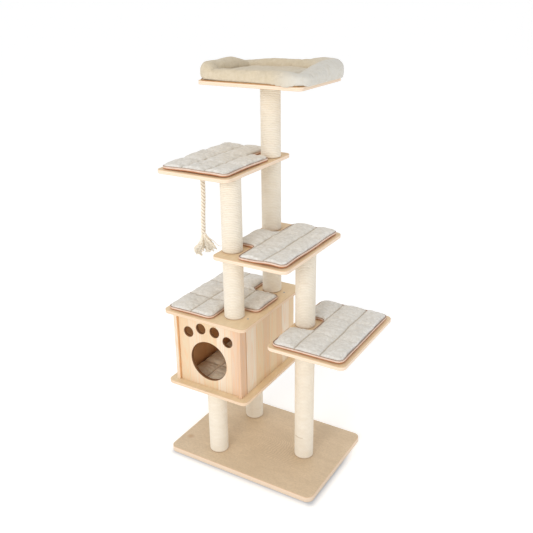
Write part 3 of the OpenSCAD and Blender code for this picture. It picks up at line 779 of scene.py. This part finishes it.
def build_rope():
    """Three strands laid round the route's line, with lobes for the yarns in each strand."""
    line, _ = smooth_line(ROPE_ROUTE, ROPE_STEP)
    slant = math.hypot(1, 2 * math.pi * STRAND_OUT / ROPE_LAY)
    around, width = STRAND_SIDES, 2 * math.pi * STRAND_R / STRAND_SIDES
    points, faces, uv, painted_shades = [], [], [], []
    for strand in range(3):
        faces += tube_faces(len(line), around, len(points))
        run = 0.0
        for k, spot in enumerate(line):
            run += (spot - line[k - 1]).length if k else 0
            turn = 2 * math.pi * (run / ROPE_LAY + strand / 3)
            c, s = math.cos(turn), math.sin(turn)
            out, side = Vector((c, s, 0)), Vector((-s, c, 0))
            for j in range(around):
                a = 2 * math.pi * j / around
                r = STRAND_R * (1 + YARN_PROUD * math.cos(YARNS * a - 2 * math.pi * run / YARN_LAY))
                rim = out * (STRAND_OUT + r * math.cos(a)) + side * r * slant * math.sin(a)
                points.append(spot + rim)
                # Painted shade where the strands dip in towards the rope's core.
                painted_shades.append(min(1, max(0, (0.0096 - rim.length) / 0.0022)))
        for u in (k * ROPE_STEP for k in range(len(line) - 1)):
            for v in (j * width for j in range(around)):
                uv += [(u, v), (u, v + width), (u + ROPE_STEP, v + width), (u + ROPE_STEP, v)]
        uv += [(0, 0)] * (2 * around)
    mesh = new_mesh("laid_rope", points, faces)
    add_map(mesh, uv)
    store(mesh, "painted_shade_and_splice", painted_shades)
    piece = place_mesh("laid_rope", mesh, [cotton_look], "rope")
    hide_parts("hanging_rope")
    return piece, line


def smooth_line(points, spacing):
    """A Catmull-Rom line through points at even steps, and its length."""
    spots = [Vector(p) for p in points]
    spots = [spots[0] * 2 - spots[1]] + spots + [spots[-1] * 2 - spots[-2]]
    dense = []
    for a, b, c, d in zip(spots, spots[1:], spots[2:], spots[3:]):
        bend, twist = 2 * a - 5 * b + 4 * c - d, 3 * b - a - 3 * c + d
        for t in np.linspace(0, 1, 24, endpoint=False):
            dense.append(0.5 * (2 * b + (c - a) * t + bend * t**2 + twist * t**3))
    dense.append(spots[-2])
    run = np.concatenate([[0], np.cumsum([(q - p).length for p, q in zip(dense, dense[1:])])])
    count = int(round(run[-1] / spacing))
    at = np.linspace(0, run[-1], count + 1)
    table = np.array([tuple(p) for p in dense])
    return [Vector([np.interp(s, run, table[:, i]) for i in range(3)]) for s in at], run[-1]


def tube(line, radii, around=6):
    """Points and faces of a closed tube along a line of Vectors, kept from twisting."""
    points = []
    side = Vector((1, 0, 0))
    for k, spot in enumerate(line):
        ahead = (line[min(k + 1, len(line) - 1)] - line[max(k - 1, 0)]).normalized()
        side = (side - ahead * side.dot(ahead)).normalized()
        other = ahead.cross(side)
        for j in range(around):
            a = 2 * math.pi * j / around
            points.append(spot + (side * math.cos(a) + other * math.sin(a)) * radii[k])
    return points, tube_faces(len(line), around)


# The frayed end's locks, in metres right of the rope and down from its end: the line that each lock follows,
# its thickness, and how many yarns it has.
LOCKS = [
    ([(-0.003, 0), (-0.005, 0.025), (-0.015, 0.047), (-0.031, 0.060), (-0.034, 0.077), (-0.027, 0.096)],
     0.0090, 40),
    ([(-0.002, 0), (-0.004, 0.028), (-0.008, 0.049), (-0.019, 0.065), (-0.018, 0.084), (-0.011, 0.101)],
     0.0082, 34),
    ([(0, 0), (0.000, 0.030), (-0.002, 0.052), (-0.006, 0.068), (-0.005, 0.082)], 0.0065, 20),
    ([(0.002, 0), (0.003, 0.028), (0.006, 0.052), (0.010, 0.074), (0.007, 0.094)], 0.0068, 22),
    ([(0.003, 0), (0.008, 0.024), (0.014, 0.046), (0.019, 0.066), (0.023, 0.088)], 0.0080, 30),
    ([(0.004, 0), (0.011, 0.020), (0.022, 0.042), (0.031, 0.062), (0.036, 0.084)], 0.0080, 30),
    ([(0.004, 0), (0.014, 0.018), (0.029, 0.038), (0.042, 0.056), (0.053, 0.071)], 0.0070, 24),
]
STRAY = [(0.006, 0.008), (0.028, 0.025), (0.042, 0.036), (0.053, 0.050), (0.066, 0.059), (0.073, 0.057)]


def build_tassel(end):
    """The rope's last stretch, untwisted into crimped locks of yarn, with one stray strand."""
    right = Vector((math.cos(math.radians(CAMERA_YAW)), math.sin(math.radians(CAMERA_YAW)), 0))
    away = Vector((-right.y, right.x, 0))
    points, faces, painted_shades = [], [], []

    def lay(line, radii, shade):
        base = len(points)
        p, f = tube(line, radii, 6)
        points.extend(tuple(q) for q in p)
        faces.extend([base + i for i in face] for face in f)
        painted_shades.extend([shade] * len(p))

    for route, thick, count in LOCKS:
        middle, length = smooth_line([(x, 0, -z) for x, z in route], 0.002)
        back, beat = chance.uniform(-0.012, 0.012), chance.uniform(0.013, 0.018)
        crimp, phase = chance.uniform(0.0016, 0.0026), chance.uniform(0, 6.28)
        for number in range(count):
            turn, reach = 2 * math.pi * number / count * 2.4, thick * math.sqrt((number + 0.5) / count)
            lag, loose = chance.normal(0, 0.35), chance.uniform(0.6, 1.3)
            keep = int(len(middle) * chance.uniform(0.86, 1.0))
            line = []
            for k, spot in enumerate(middle[:keep]):
                t = k / len(middle)
                wave = 2 * math.pi * t * length / beat + phase + lag
                spin = turn + 3.0 * t
                spread = reach * (0.75 + 0.45 * math.sin(math.pi * min(1, 1.15 * t)))
                across = spot.x + spread * math.cos(spin) + loose * crimp * math.sin(wave) * min(1, 3 * t)
                inward = back * t + spread * math.sin(spin) + loose * crimp * math.cos(wave) * min(1, 3 * t)
                line.append(end + right * across + away * inward + Vector((0, 0, spot.z)))
            radius = chance.uniform(0.0011, 0.0016)
            # About a fifth of the yarns carry painted shade, for the shade between the locks.
            shade = chance.uniform(0.6, 1.0) if chance.uniform() < 0.20 else 0.22 * chance.uniform()
            lay(line[::2], [radius * (1 - 0.3 * k / len(line)) for k in range(0, len(line), 2)], shade)
    stray, _ = smooth_line([end + right * x + Vector((0, 0, -z)) for x, z in STRAY], 0.003)
    lay(stray, [0.0013] * len(stray), 0.5)
    mesh = new_mesh("frayed_end", points, faces)
    add_map(mesh, np.zeros((sum(len(face) for face in faces), 2)))
    store(mesh, "painted_shade_and_splice", painted_shades)
    piece = place_mesh("frayed_end", mesh, [cotton_look], "rope")
    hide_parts("rope_tassel")
    return piece


# ---- quilted mats ----

class Mat:
    """A quilted mat: its outline, its seams, where its rim curls up, and the body it lifts off with."""

    def __init__(self, node, corners, seams, cross, curls, look, seed, rumple=1.0):
        low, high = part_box(node)
        self.rumple = rumple
        self.node, self.body, self.seed, self.cross, self.look = node, node + "_pad", seed, cross, look
        self.low, self.high = low, high
        corners = [(x, y, NOTCH_CORNER if notch else MAT_CORNER) for x, y, notch in corners]
        self.outline = rounded_outline(corners)
        self.seams_x = [low.x + (high.x - low.x) * k for k in seams[0]]
        self.seams_y = [low.y + (high.y - low.y) * k for k in seams[1]]
        self.curls = curls

    def to_seam(self, points):
        """Distance of each point from the nearest long seam, and from the nearest cross seam."""
        gaps = []
        for along, waves, seams in ((1, 31, self.seams_x), (0, 37, self.seams_y)):
            bend = 0.0016 * np.sin(points[:, along] * waves + self.seed)
            gaps.append(np.min([abs(points[:, 1 - along] - seam - bend) for seam in seams], axis=0))
        return gaps

    def near_seam(self, long_gap, cross_gap, reach):
        """1 in a long seam and self.cross in a cross seam, falling away over reach."""
        return np.maximum(fade(long_gap, reach), self.cross * fade(cross_gap, reach))

    def lift(self, points):
        """How far the rim curls up off the board near each of the mat's curls."""
        near = rim_nearness(points[:, :2], self.outline, CURL_REACH)
        x = (points[:, 0] - self.low.x) / (self.high.x - self.low.x)
        y = (points[:, 1] - self.low.y) / (self.high.y - self.low.y)
        bow = sum(h * np.exp(-(((x - u) / w) ** 2) - ((y - v) / w) ** 2) for u, v, w, h in self.curls)
        return near * np.minimum(bow, CURL_MOST)

    def lifted(self, points):
        """The points, raised with the rim."""
        points = np.array(points)
        points[:, 2] += self.lift(points)
        return points.tolist()


def fade(gap, reach):
    """1 where there is no gap, falling away over reach."""
    return np.exp(-((gap / reach) ** 2))


def rim_nearness(points, outline, reach):
    """1 on the outline, falling to 0 at reach inside it."""
    a, b = outline, np.roll(outline, -1, axis=0)
    ab = b - a
    best = np.full(len(points), 1e9)
    for start in range(0, len(a), 40):
        p, d = a[start : start + 40], ab[start : start + 40]
        t = np.clip(((points[:, None] - p) * d).sum(-1) / (d * d).sum(-1), 0, 1)
        best = np.minimum(best, np.linalg.norm(points[:, None] - p - t[..., None] * d, axis=-1).min(1))
    return np.clip(1 - best / reach, 0, 1) ** 2


def prism(outline, levels):
    """A closed block from (inset, height) rings, bottom to top."""
    points = [(x, y, z) for inset, z in levels for x, y in grow(outline, -inset)]
    return points, tube_faces(len(levels), len(outline))


def remeshed(name, points, faces, voxel):
    """A loose object of the same shape, cut into even cells for the cloth simulation."""
    blank = new_object(name + "_blank", new_mesh(name + "_blank", points, faces))
    cut = blank.modifiers.new("Cells", "REMESH")
    cut.mode, cut.voxel_size, cut.use_smooth_shade = "VOXEL", voxel, True
    return bake_shape(blank)


def bake_shape(holder):
    """Replaces an object's modifiers by the shape that they give now."""
    graph = bpy.context.evaluated_depsgraph_get()
    mesh = bpy.data.meshes.new_from_object(holder.evaluated_get(graph))
    holder.modifiers.clear()
    holder.data = mesh
    return holder


def inflate(jobs):
    """Runs one cloth simulation for every (object, pinned weights, pressure, growth, cap) and applies it."""
    rest = {}
    for holder, weights, pressure, growth, _ in jobs:
        rest[holder.name] = coordinates(holder.data)
        group = holder.vertex_groups.new(name="pinned")
        for step in np.unique(weights.round(1)):
            chosen = np.flatnonzero(weights.round(1) == step).tolist()
            if step > 0:
                group.add(chosen, float(step), "REPLACE")
        cloth = holder.modifiers.new("Inflate", "CLOTH")
        settings = cloth.settings
        settings.quality = CLOTH_STEPS
        settings.vertex_group_mass = "pinned"
        settings.use_pressure = True
        settings.uniform_pressure_force = pressure
        settings.shrink_min = -growth
        settings.bending_stiffness = CLOTH_STIFFNESS
        settings.effector_weights.gravity = 0
        cloth.collision_settings.use_collision = False
        cloth.point_cache.frame_start, cloth.point_cache.frame_end = 1, CLOTH_FRAMES
    for number in range(1, CLOTH_FRAMES + 1):
        bpy.context.scene.frame_set(number)
    for holder, _, _, _, cap in jobs:
        bake_shape(holder)
        moved = coordinates(holder.data) - rest[holder.name]
        reach = np.linalg.norm(moved, axis=1)
        keep = np.minimum(1, cap / np.maximum(reach, 1e-9))
        set_coordinates(holder.data, rest[holder.name] + moved * keep[:, None])
    bpy.context.scene.frame_set(1)


def refine(holder):
    """One level of subdivision, applied."""
    finer = holder.modifiers.new("Finer", "SUBSURF")
    finer.levels = finer.render_levels = 1
    return bake_shape(holder)


def place_pad(name, holder, points, seam, look, body, node):
    """Makes a stuffed shape the padded piece that replaces a CAD node."""
    set_coordinates(holder.data, points)
    store(holder.data, "seam", seam)
    mesh = holder.data
    bpy.data.objects.remove(holder)
    mesh.materials.clear()
    piece = place_mesh(name, mesh, [look], body)
    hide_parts(node)


def store(mesh, name, values):
    attribute = mesh.attributes.new(name, "FLOAT", "POINT")
    attribute.data.foreach_set("value", np.asarray(values, np.float32))


def roughened(points, scale, size, seed):
    """A small uneven rise and fall for each point."""
    shift = Vector((seed * 3.7, seed * 1.3, seed * 7.9))
    return np.array([noise.noise(Vector(p) * scale + shift) for p in points]) * size


def blank_mat(mat):
    """The mat before it is stuffed, with its seams drawn down, and the weights that pin it."""
    floor, top, inset = mat.low.z + BACKING_T, mat.low.z + UNSTUFFED_H, PLUSH_INSET
    levels = [
        (inset + 0.001, floor), (inset, floor + 0.005), (inset + 0.0015, top - 0.004), (inset + 0.006, top),
    ]
    holder = remeshed(mat.node, *prism(mat.outline, levels), 0.005)
    points = coordinates(holder.data)
    long_gap, cross_gap = mat.to_seam(points)
    upper = np.clip((points[:, 2] - floor - 0.005) / 0.006, 0, 1)
    points[:, 2] -= 0.0040 * mat.near_seam(long_gap, cross_gap, 0.010) * upper
    set_coordinates(holder.data, points)
    pinned = np.where(points[:, 2] < floor + 0.002, 1.0, 0.0)
    for gaps, weight in ((long_gap, 1.0), (cross_gap, 1.0 if mat.cross > 0.6 else 0.5)):
        pinned = np.where((gaps < 0.0036) & (upper > 0.3), np.maximum(pinned, weight), pinned)
    return holder, pinned


def finish_mat(mat, holder):
    """Seams, pile, curl, the binding round the rim, the backing under it and the stitches."""
    refine(holder)
    points = coordinates(holder.data)
    long_gap, cross_gap = mat.to_seam(points)
    floor = mat.low.z + BACKING_T
    upper = np.clip((points[:, 2] - floor - 0.004) / 0.005, 0, 1)
    line = mat.near_seam(long_gap, cross_gap, SEAM_REACH)
    crease = mat.near_seam(long_gap, cross_gap, CREASE_REACH)
    fold = min(mat.cross, 1 - mat.cross) ** 2 * fade(cross_gap, FOLD_REACH)
    points[:, 2] -= (SEAM_DEPTH * line + CREASE_DEPTH * crease + FOLD_DEPTH * fold) * upper
    pulls = roughened(points * [1, 0.35, 1], 120, 0.0012, mat.seed + 2) * fade(long_gap, PULL_REACH)
    ripple = roughened(points, 26, 0.0018, mat.seed) + roughened(points, 64, 0.0013, mat.seed + 1)
    points[:, 2] += (ripple * mat.rumple + pulls) * upper * (1 - 0.6 * crease)
    points[:, 2] += mat.lift(points)
    # The seam attribute marks where painted shade lies in the seams.
    place_pad(mat.node + "_top", holder, points, line * upper, mat.look, mat.body, mat.node)
    trim_mat(mat, floor)
    stitch_mat(mat, points)


def trim_mat(mat, floor):
    """The bound rim, with painted shade on its upper edge and inner side, and the thin sheet under the mat."""
    base = floor - 0.0008
    section = rounded_section(BINDING_T, base, base + BINDING_H, 0.0021)
    points, faces, uv = sweep_loop(grow(mat.outline, -BINDING_T / 2), section)
    # Painted shade along the binding's upper edge and on its inner side, under the plush.
    drawn = [float(up > base + BINDING_H * 0.80 or out < -BINDING_T * 0.2) for out, up in section]
    mesh = new_mesh(mat.node + "_binding", mat.lifted(points), faces)
    add_map(mesh, uv)
    store(mesh, "painted_shade_and_splice", drawn * len(mat.outline))
    place_mesh(mat.node + "_binding", mesh, [binding_cloth], mat.body)
    under = mat.low.z
    levels = [(0.016, under), (0.008, under), (0.0016, under), (0.0004, under + 0.0008),
              (0.0004, floor - 0.0006), (0.0014, floor), (0.008, floor), (0.016, floor)]
    points, faces = prism(mat.outline, levels)
    make_piece(mat.node + "_backing", mat.lifted(points), faces, [backing_cloth], mat.body)


def stitch_mat(mat, surface):
    """Short thread stitches that lie in the seams."""
    tree = KDTree(len(surface))
    for k, p in enumerate(surface):
        tree.insert(tuple(p), k)
    tree.balance()
    runs = [(0, x) for x in mat.seams_x] + ([(1, y) for y in mat.seams_y] if mat.cross > 0.6 else [])
    points, faces = [], []
    for axis, place in runs:
        low, high = (mat.low.y, mat.high.y) if axis == 0 else (mat.low.x, mat.high.x)
        for at in np.arange(low + 0.012, high - 0.012, STITCH_GAP):
            ends = []
            for step in (-STITCH_LENGTH / 2, 0, STITCH_LENGTH / 2):
                spot = (place, at + step) if axis == 0 else (at + step, place)
                found, _, distance = tree.find((*spot, mat.low.z + 0.014))
                if Vector((found.x - spot[0], found.y - spot[1])).length > 0.006 or distance > 0.012:
                    break
                ends.append(Vector((*spot, found.z + (0.0005 if step == 0 else -0.0003))))
            if len(ends) == 3:
                stitch, around = tube(ends, STITCH_RADII, 5)
                faces += [tuple(len(points) + i for i in face) for face in around]
                points += [tuple(q) for q in stitch]
    make_piece(mat.node + "_stitches", points, faces, [thread_look], mat.body)


def list_mats():
    """The five mats, from their CAD boxes and their posts. A corner's 1 marks the inside of a notch."""
    def sides(node):
        low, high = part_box(node)
        return low.x, low.y, high.x, high.y

    front, back = middle_of("front_roof_core"), middle_of("back_roof_core")
    lobe_low, lobe_high = front.y + POST_ROOM, back.y - POST_ROOM
    edge = front.x - POST_ROOM
    x0, y0, x1, y1 = sides("roof_cushion")
    roof = [(x0, y0, 0), (edge, y0, 0), (edge, lobe_low, 1), (x1, lobe_low, 0),
            (x1, lobe_high, 0), (edge, lobe_high, 1), (edge, y1, 0), (x0, y1, 0)]
    roof_curls = [(0.35, 0, 0.25, 0.002), (0.62, 0.3, 0.12, 0.004), (1.0, 0.5, 0.2, 0.003)]
    x0, y0, x1, y1 = sides("left_cushion")
    left = [(x0, y0, 0), (x1, y0, 0), (x1, lobe_high, 0), (edge, lobe_high, 1), (edge, y1, 0), (x0, y1, 0)]
    left_curls = [
        (0.45, 0, 0.25, 0.0042), (0.8, 0, 0.15, 0.0028), (1.0, 0.3, 0.25, 0.004), (0.1, 0.5, 0.2, 0.002),
    ]
    x0, y0, x1, y1 = sides("condo_cushion")
    condo = [(x0, y0, 0), (x1, y0, 0), (x1, y1, 0), (x0, y1, 0)]
    x0, y0, x1, y1 = sides("right_cushion")
    edge = middle_of("right_upper_core").x + POST_ROOM
    right = [(x0, y0, 0), (x1, y0, 0), (x1, y1, 0), (x0, y1, 0),
             (x0, POST_ROOM, 0), (edge, POST_ROOM, 1), (edge, -POST_ROOM, 1), (x0, -POST_ROOM, 0)]
    right_curls = [(0.5, 0, 0.3, 0.002), (1.0, 0.15, 0.25, 0.004), (1.0, 0.65, 0.25, 0.003)]
    x0, y0, x1, y1 = sides("middle_cushion")
    edge = front.x + POST_ROOM + MIDDLE_ROOM
    middle = [(edge, y0, 0), (x1, y0, 0), (x1, y1, 0), (edge, y1, 0),
              (edge, lobe_high, 1), (x0, lobe_high, 0), (x0, lobe_low, 0), (edge, lobe_low, 1)]
    middle_curls = [(0.78, 0, 0.17, 0.0055), (1.0, 0.22, 0.22, 0.006), (1.0, 0.75, 0.22, 0.0045)]
    return [
        Mat("roof_cushion", roof, ((0.325, 0.681), (0.32, 0.66)), 1.0, roof_curls, plush, 1, 1.3),
        Mat("condo_cushion", condo, (THIRDS, THIRDS), 0.5, [], cabin_plush, 2),
        Mat("right_cushion", right, ((0.331, 0.689), THIRDS), 0.15, right_curls, plush, 3),
        Mat("middle_cushion", middle, ((0.341, 0.689), THIRDS), 0.15, middle_curls, plush, 4),
        Mat("left_cushion", left, ((0.325, 0.669), (0.30, 0.62)), 0.5, left_curls, plush, 5, 1.5),
    ]


# ---- bed ----

BED_BULGE, BED_BEND = 0.005, 0.026
BED_HANG, BED_SAG = 0.0045, 0.0065
BED_CELL = 0.0055
ROLL_SIDES, ROLL_BELLY = 32, 0.024
PIPING_T = 0.0034


def ease(value):
    value = np.clip(value, 0, 1)
    return value * value * (3 - 2 * value)


def roll_height(x, y, half_x, half_y):
    """Share of the full height: full at the ends, lower at the back, slumped along the front."""
    front = ease((-y / half_y - 0.35) / 0.5)
    side = ease((0.5 - y / half_y) / 1.5) * ease((x / half_x - 0.8) / 0.15)
    inward = ease((x + half_x - 0.012) / 0.044)
    slump = 0.47 - 0.07 * x / half_x
    back = 0.32 * ease((y / half_y - 0.1) / 0.9) * ease((0.75 - x / half_x) / 0.5)
    return 1 - max(slump * front * inward, 0.42 * side, back)


def blank_bolster():
    """The roll before it is stuffed: flat and wide where it rests, bulging low over the board's rim."""
    low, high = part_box("bed_bolster")
    centre = (low + high) / 2
    roll_r = (high.z - low.z) / 2
    half_x, half_y = (high.x - low.x) / 2 - roll_r, (high.y - low.y) / 2 - roll_r
    loop = rounded_box(
        centre.x - half_x, centre.y - half_y, centre.x + half_x, centre.y + half_y, BED_BEND, 0.008
    )
    out = outward(loop)
    points = []
    for i, spot in enumerate(loop):
        tall = (high.z - low.z - 0.003) * roll_height(spot[0] - centre.x, spot[1] - centre.y, half_x, half_y)
        boxy = ease((spot[0] - centre.x + half_x) / 0.06)
        bulge = BED_BULGE + 0.008 * ease((spot[0] - centre.x) / half_x)
        for j in range(ROLL_SIDES):
            a = 2 * math.pi * j / ROLL_SIDES
            c, s = math.cos(a), math.sin(a)
            power, rise = (0.8, tall - ROLL_BELLY) if s > 0 else (0.85 - 0.35 * boxy, ROLL_BELLY)
            z = low.z - 0.001 + ROLL_BELLY + rise * math.copysign(abs(s) ** power, s)
            wide = roll_r + bulge - 0.006 if c > 0 else BED_BEND + 0.004
            reach = wide * math.copysign(abs(c) ** (0.9 if s > 0 else 1.0 - 0.45 * boxy), c)
            points.append((spot[0] + out[i, 0] * reach, spot[1] + out[i, 1] * reach, z))
    holder = remeshed("bed_bolster", points, ring_faces(len(loop), ROLL_SIDES), BED_CELL)
    return holder, np.where(coordinates(holder.data)[:, 2] < low.z + 0.003, 1.0, 0.0)


def finish_bolster(holder):
    """Soft dents and creases, cloth that hangs a little over the board's rim, and the piping at its foot."""
    low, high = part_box("bed_bolster")
    centre = (low + high) / 2
    refine(holder)
    points = coordinates(holder.data)
    free = ease((points[:, 2] - low.z - 0.004) / 0.02)
    points[:, 2] += (roughened(points, 13, 0.0026, 21) + roughened(points, 42, 0.0010, 22)) * free
    swell = (roughened(points, 20, 0.0022, 23) + roughened(points, 55, 0.0008, 24)) * free
    points[:, 0] += swell * np.sign(points[:, 0] - centre.x)
    points[:, 1] += swell * np.sign(points[:, 1] - centre.y)
    board_low, board_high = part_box("top_board")
    past = np.max([board_low.x - points[:, 0], points[:, 0] - board_high.x,
                   board_low.y - points[:, 1], points[:, 1] - board_high.y], axis=0)
    off = points[:, 0] - centre.x
    sag = BED_SAG * ease(off / 0.06) * (1 - ease((off - 0.15) / 0.05)) * (points[:, 1] < board_low.y)
    points[:, 2] -= (BED_HANG + sag) * ease((past - 0.001) / 0.004) * (1 - ease((points[:, 2] - low.z) / 0.025))
    place_pad("bed_roll", holder, points, np.zeros(len(points)), velvet, "bed", "bed_bolster")
    loop = grow(rounded_box(board_low.x, board_low.y, board_high.x, board_high.y, 0.05), -0.0008)
    section = rounded_section(PIPING_T, board_high.z + 0.0002, board_high.z + PIPING_T, 0.0015)
    points, faces, uv = sweep_loop(loop, section)
    mesh = new_mesh("bed_piping", points, faces)
    add_map(mesh, uv)
    place_mesh("bed_piping", mesh, [piping_cloth], "bed")


def blank_bed_pad():
    """The bed's loose pad before it is stuffed: wider at half its height than at its foot."""
    low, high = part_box("bed_pad")
    outline = rounded_box(low.x, low.y, high.x, high.y, 0.03)
    levels = [(-0.004, 0.001), (-0.009, 0.008), (-0.008, 0.018), (0.004, 0.026)]
    levels = [(inset, low.z + up) for inset, up in levels]
    holder = remeshed("bed_pad", *prism(outline, levels), BED_CELL)
    return holder, np.where(coordinates(holder.data)[:, 2] < low.z + 0.004, 1.0, 0.0)


def finish_bed_pad(holder):
    low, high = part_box("bed_pad")
    refine(holder)
    points = coordinates(holder.data)
    upper = np.clip((points[:, 2] - low.z - 0.012) / 0.01, 0, 1)
    points[:, 2] += (roughened(points, 18, 0.0022, 31) + roughened(points, 60, 0.0008, 32)) * upper
    points[:, 2] = np.clip(points[:, 2], low.z, high.z + 0.006)
    place_pad("bed_cushion", holder, points, np.zeros(len(points)), velvet, "bed", "bed_pad")


def build_bed_base():
    """The sheet that the roll and the pad are sewn to."""
    low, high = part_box("bed_bolster")
    inset = (high.z - low.z) / 2
    outline = rounded_box(low.x + inset, low.y + inset, high.x - inset, high.y - inset, BED_BEND)
    points, faces = prism(outline, [(0, low.z + 0.0003), (0, low.z + 0.0024)])
    make_piece("bed_base", points, faces, [velvet], "bed", smooth=False)


def build_soft_goods():
    mats = list_mats()
    blanks = [blank_mat(mat) for mat in mats]
    roll, roll_pins = blank_bolster()
    pad, pad_pins = blank_bed_pad()
    jobs = [(holder, pins, *MAT_STUFFING) for holder, pins in blanks]
    inflate(jobs + [(roll, roll_pins, *ROLL_STUFFING), (pad, pad_pins, *PAD_STUFFING)])
    for mat, (holder, _) in zip(mats, blanks):
        finish_mat(mat, holder)
    finish_bolster(roll)
    finish_bed_pad(pad)
    build_bed_base()


# ---- CAD nodes that stay ----

def dress(nodes, look):
    for name in nodes:
        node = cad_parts[name]
        node.data.materials.clear()
        node.data.materials.append(look)


def dress_hardware():
    dress([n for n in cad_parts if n.endswith("_core")], core_card)
    dress(["post_plugs", "panel_dowels"], plug_face)
    dress(
        ["post_studs", "base_bolts", "condo_bolts", "shelf_bolts", "bolt_washers", "wall_screws",
         "rope_eye", "rope_ring", "rope_cap"], steel
    )
    dress(["hook_patches"], tape_look)


# ---- floor, light and camera ----

def build_stage():
    """A white floor, drawn darker where the base rests on it."""
    far = FLOOR_HALF
    mesh = new_mesh("floor", [(-far, -far, 0), (far, -far, 0), (far, far, 0), (-far, far, 0)], [(0, 1, 2, 3)])
    floor = new_object("floor", mesh)
    glow = {"Emission_Color": (1, 1, 1, 1), "Emission_Strength": 0.19}
    look = Look("floor_white", 0.9, Specular_IOR_Level=0.1, **glow)
    low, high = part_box("base_board")
    squares = []
    for i, start, end in ((0, low.x + 0.02, high.x + 0.004), (1, low.y, high.y)):
        off = look.math("ABSOLUTE", look.math("SUBTRACT", look.axis(i), (start + end) / 2))
        past = look.math("MAXIMUM", look.math("SUBTRACT", off, (end - start) / 2 - SHADOW_CORNER), 0.0)
        squares.append(look.math("POWER", past, 2.0))
    gap = look.math("POWER", look.sum(*squares), 0.5)
    shade = look.math("POWER", look.limits(gap, SHADOW_FULL, SHADOW_END, 1.0, 0.0), SHADOW_FALL)
    shade = look.times(shade, look.limits(look.axis(1), 0.05, 0.17, 1.0, 0.0))
    paper = look.noise([9, 9, 9])
    white = look.mix(paper, (0.975, 0.98, 0.985, 1), (0.985, 0.985, 0.985, 1))
    look.finish(look.mix(shade, white, (0.38, 0.40, 0.435, 1)))
    mesh.materials.append(look.material)


def add_lamp(name, at, aim, size, power, tint):
    lamp = bpy.data.lights.new(name, "AREA")
    lamp.shape, lamp.size, lamp.energy, lamp.color = "DISK", size, power, tint
    holder = new_object(name, lamp)
    holder.location = at
    holder.rotation_mode = "QUATERNION"
    holder.rotation_quaternion = (Vector(at) - Vector(aim)).to_track_quat("Z", "Y")


def build_light():
    scene = bpy.context.scene
    world = bpy.data.worlds.new("studio")
    scene.world = world
    world.use_nodes = True
    tree = world.node_tree
    where = tree.nodes.new("ShaderNodeTexCoord")
    split = tree.nodes.new("ShaderNodeSeparateXYZ")
    level = tree.nodes.new("ShaderNodeMapRange")
    for socket, value in (("From Min", 0.10), ("From Max", 0.55), ("To Min", 1.0), ("To Max", 0.80)):
        level.inputs[socket].default_value = value
    tree.links.new(where.outputs["Generated"], split.inputs[0])
    tree.links.new(split.outputs["Z"], level.inputs["Value"])
    tree.links.new(level.outputs[0], tree.nodes["Background"].inputs["Strength"])
    tree.nodes["Background"].inputs["Color"].default_value = (1.0, 1.0, 1.0, 1)
    add_lamp("key", (0.2, -6.2, 3.7), (0, 0, 0.8), 3.4, 152, (1.0, 0.965, 0.925))
    add_lamp("fill", (5.6, 1.4, 2.0), (0, 0, 0.9), 3.0, 18, (0.84, 0.93, 1.0))
    scene.view_settings.view_transform = "Standard"
    scene.view_settings.look = "None"


def build_camera():
    camera = bpy.data.cameras.new("camera")
    camera.lens, camera.sensor_width = CAMERA_LENS, 36
    holder = new_object("camera", camera)
    turn = (
        Matrix.Rotation(math.radians(CAMERA_YAW), 4, "Z")
        @ Matrix.Rotation(math.radians(90 - CAMERA_PITCH), 4, "X")
        @ Matrix.Rotation(math.radians(CAMERA_ROLL), 4, "Z")
    )
    holder.matrix_world = Matrix.Translation(CAMERA_AT) @ turn
    bpy.context.scene.camera = holder


build_camera()
build_light()
build_stage()
rope, rope_line = build_rope()
tassel = build_tassel(Vector(ROPE_ROUTE[-1]))
build_boards()
for post in POSTS:
    wind_sisal(post)
build_soft_goods()
dress_hardware()
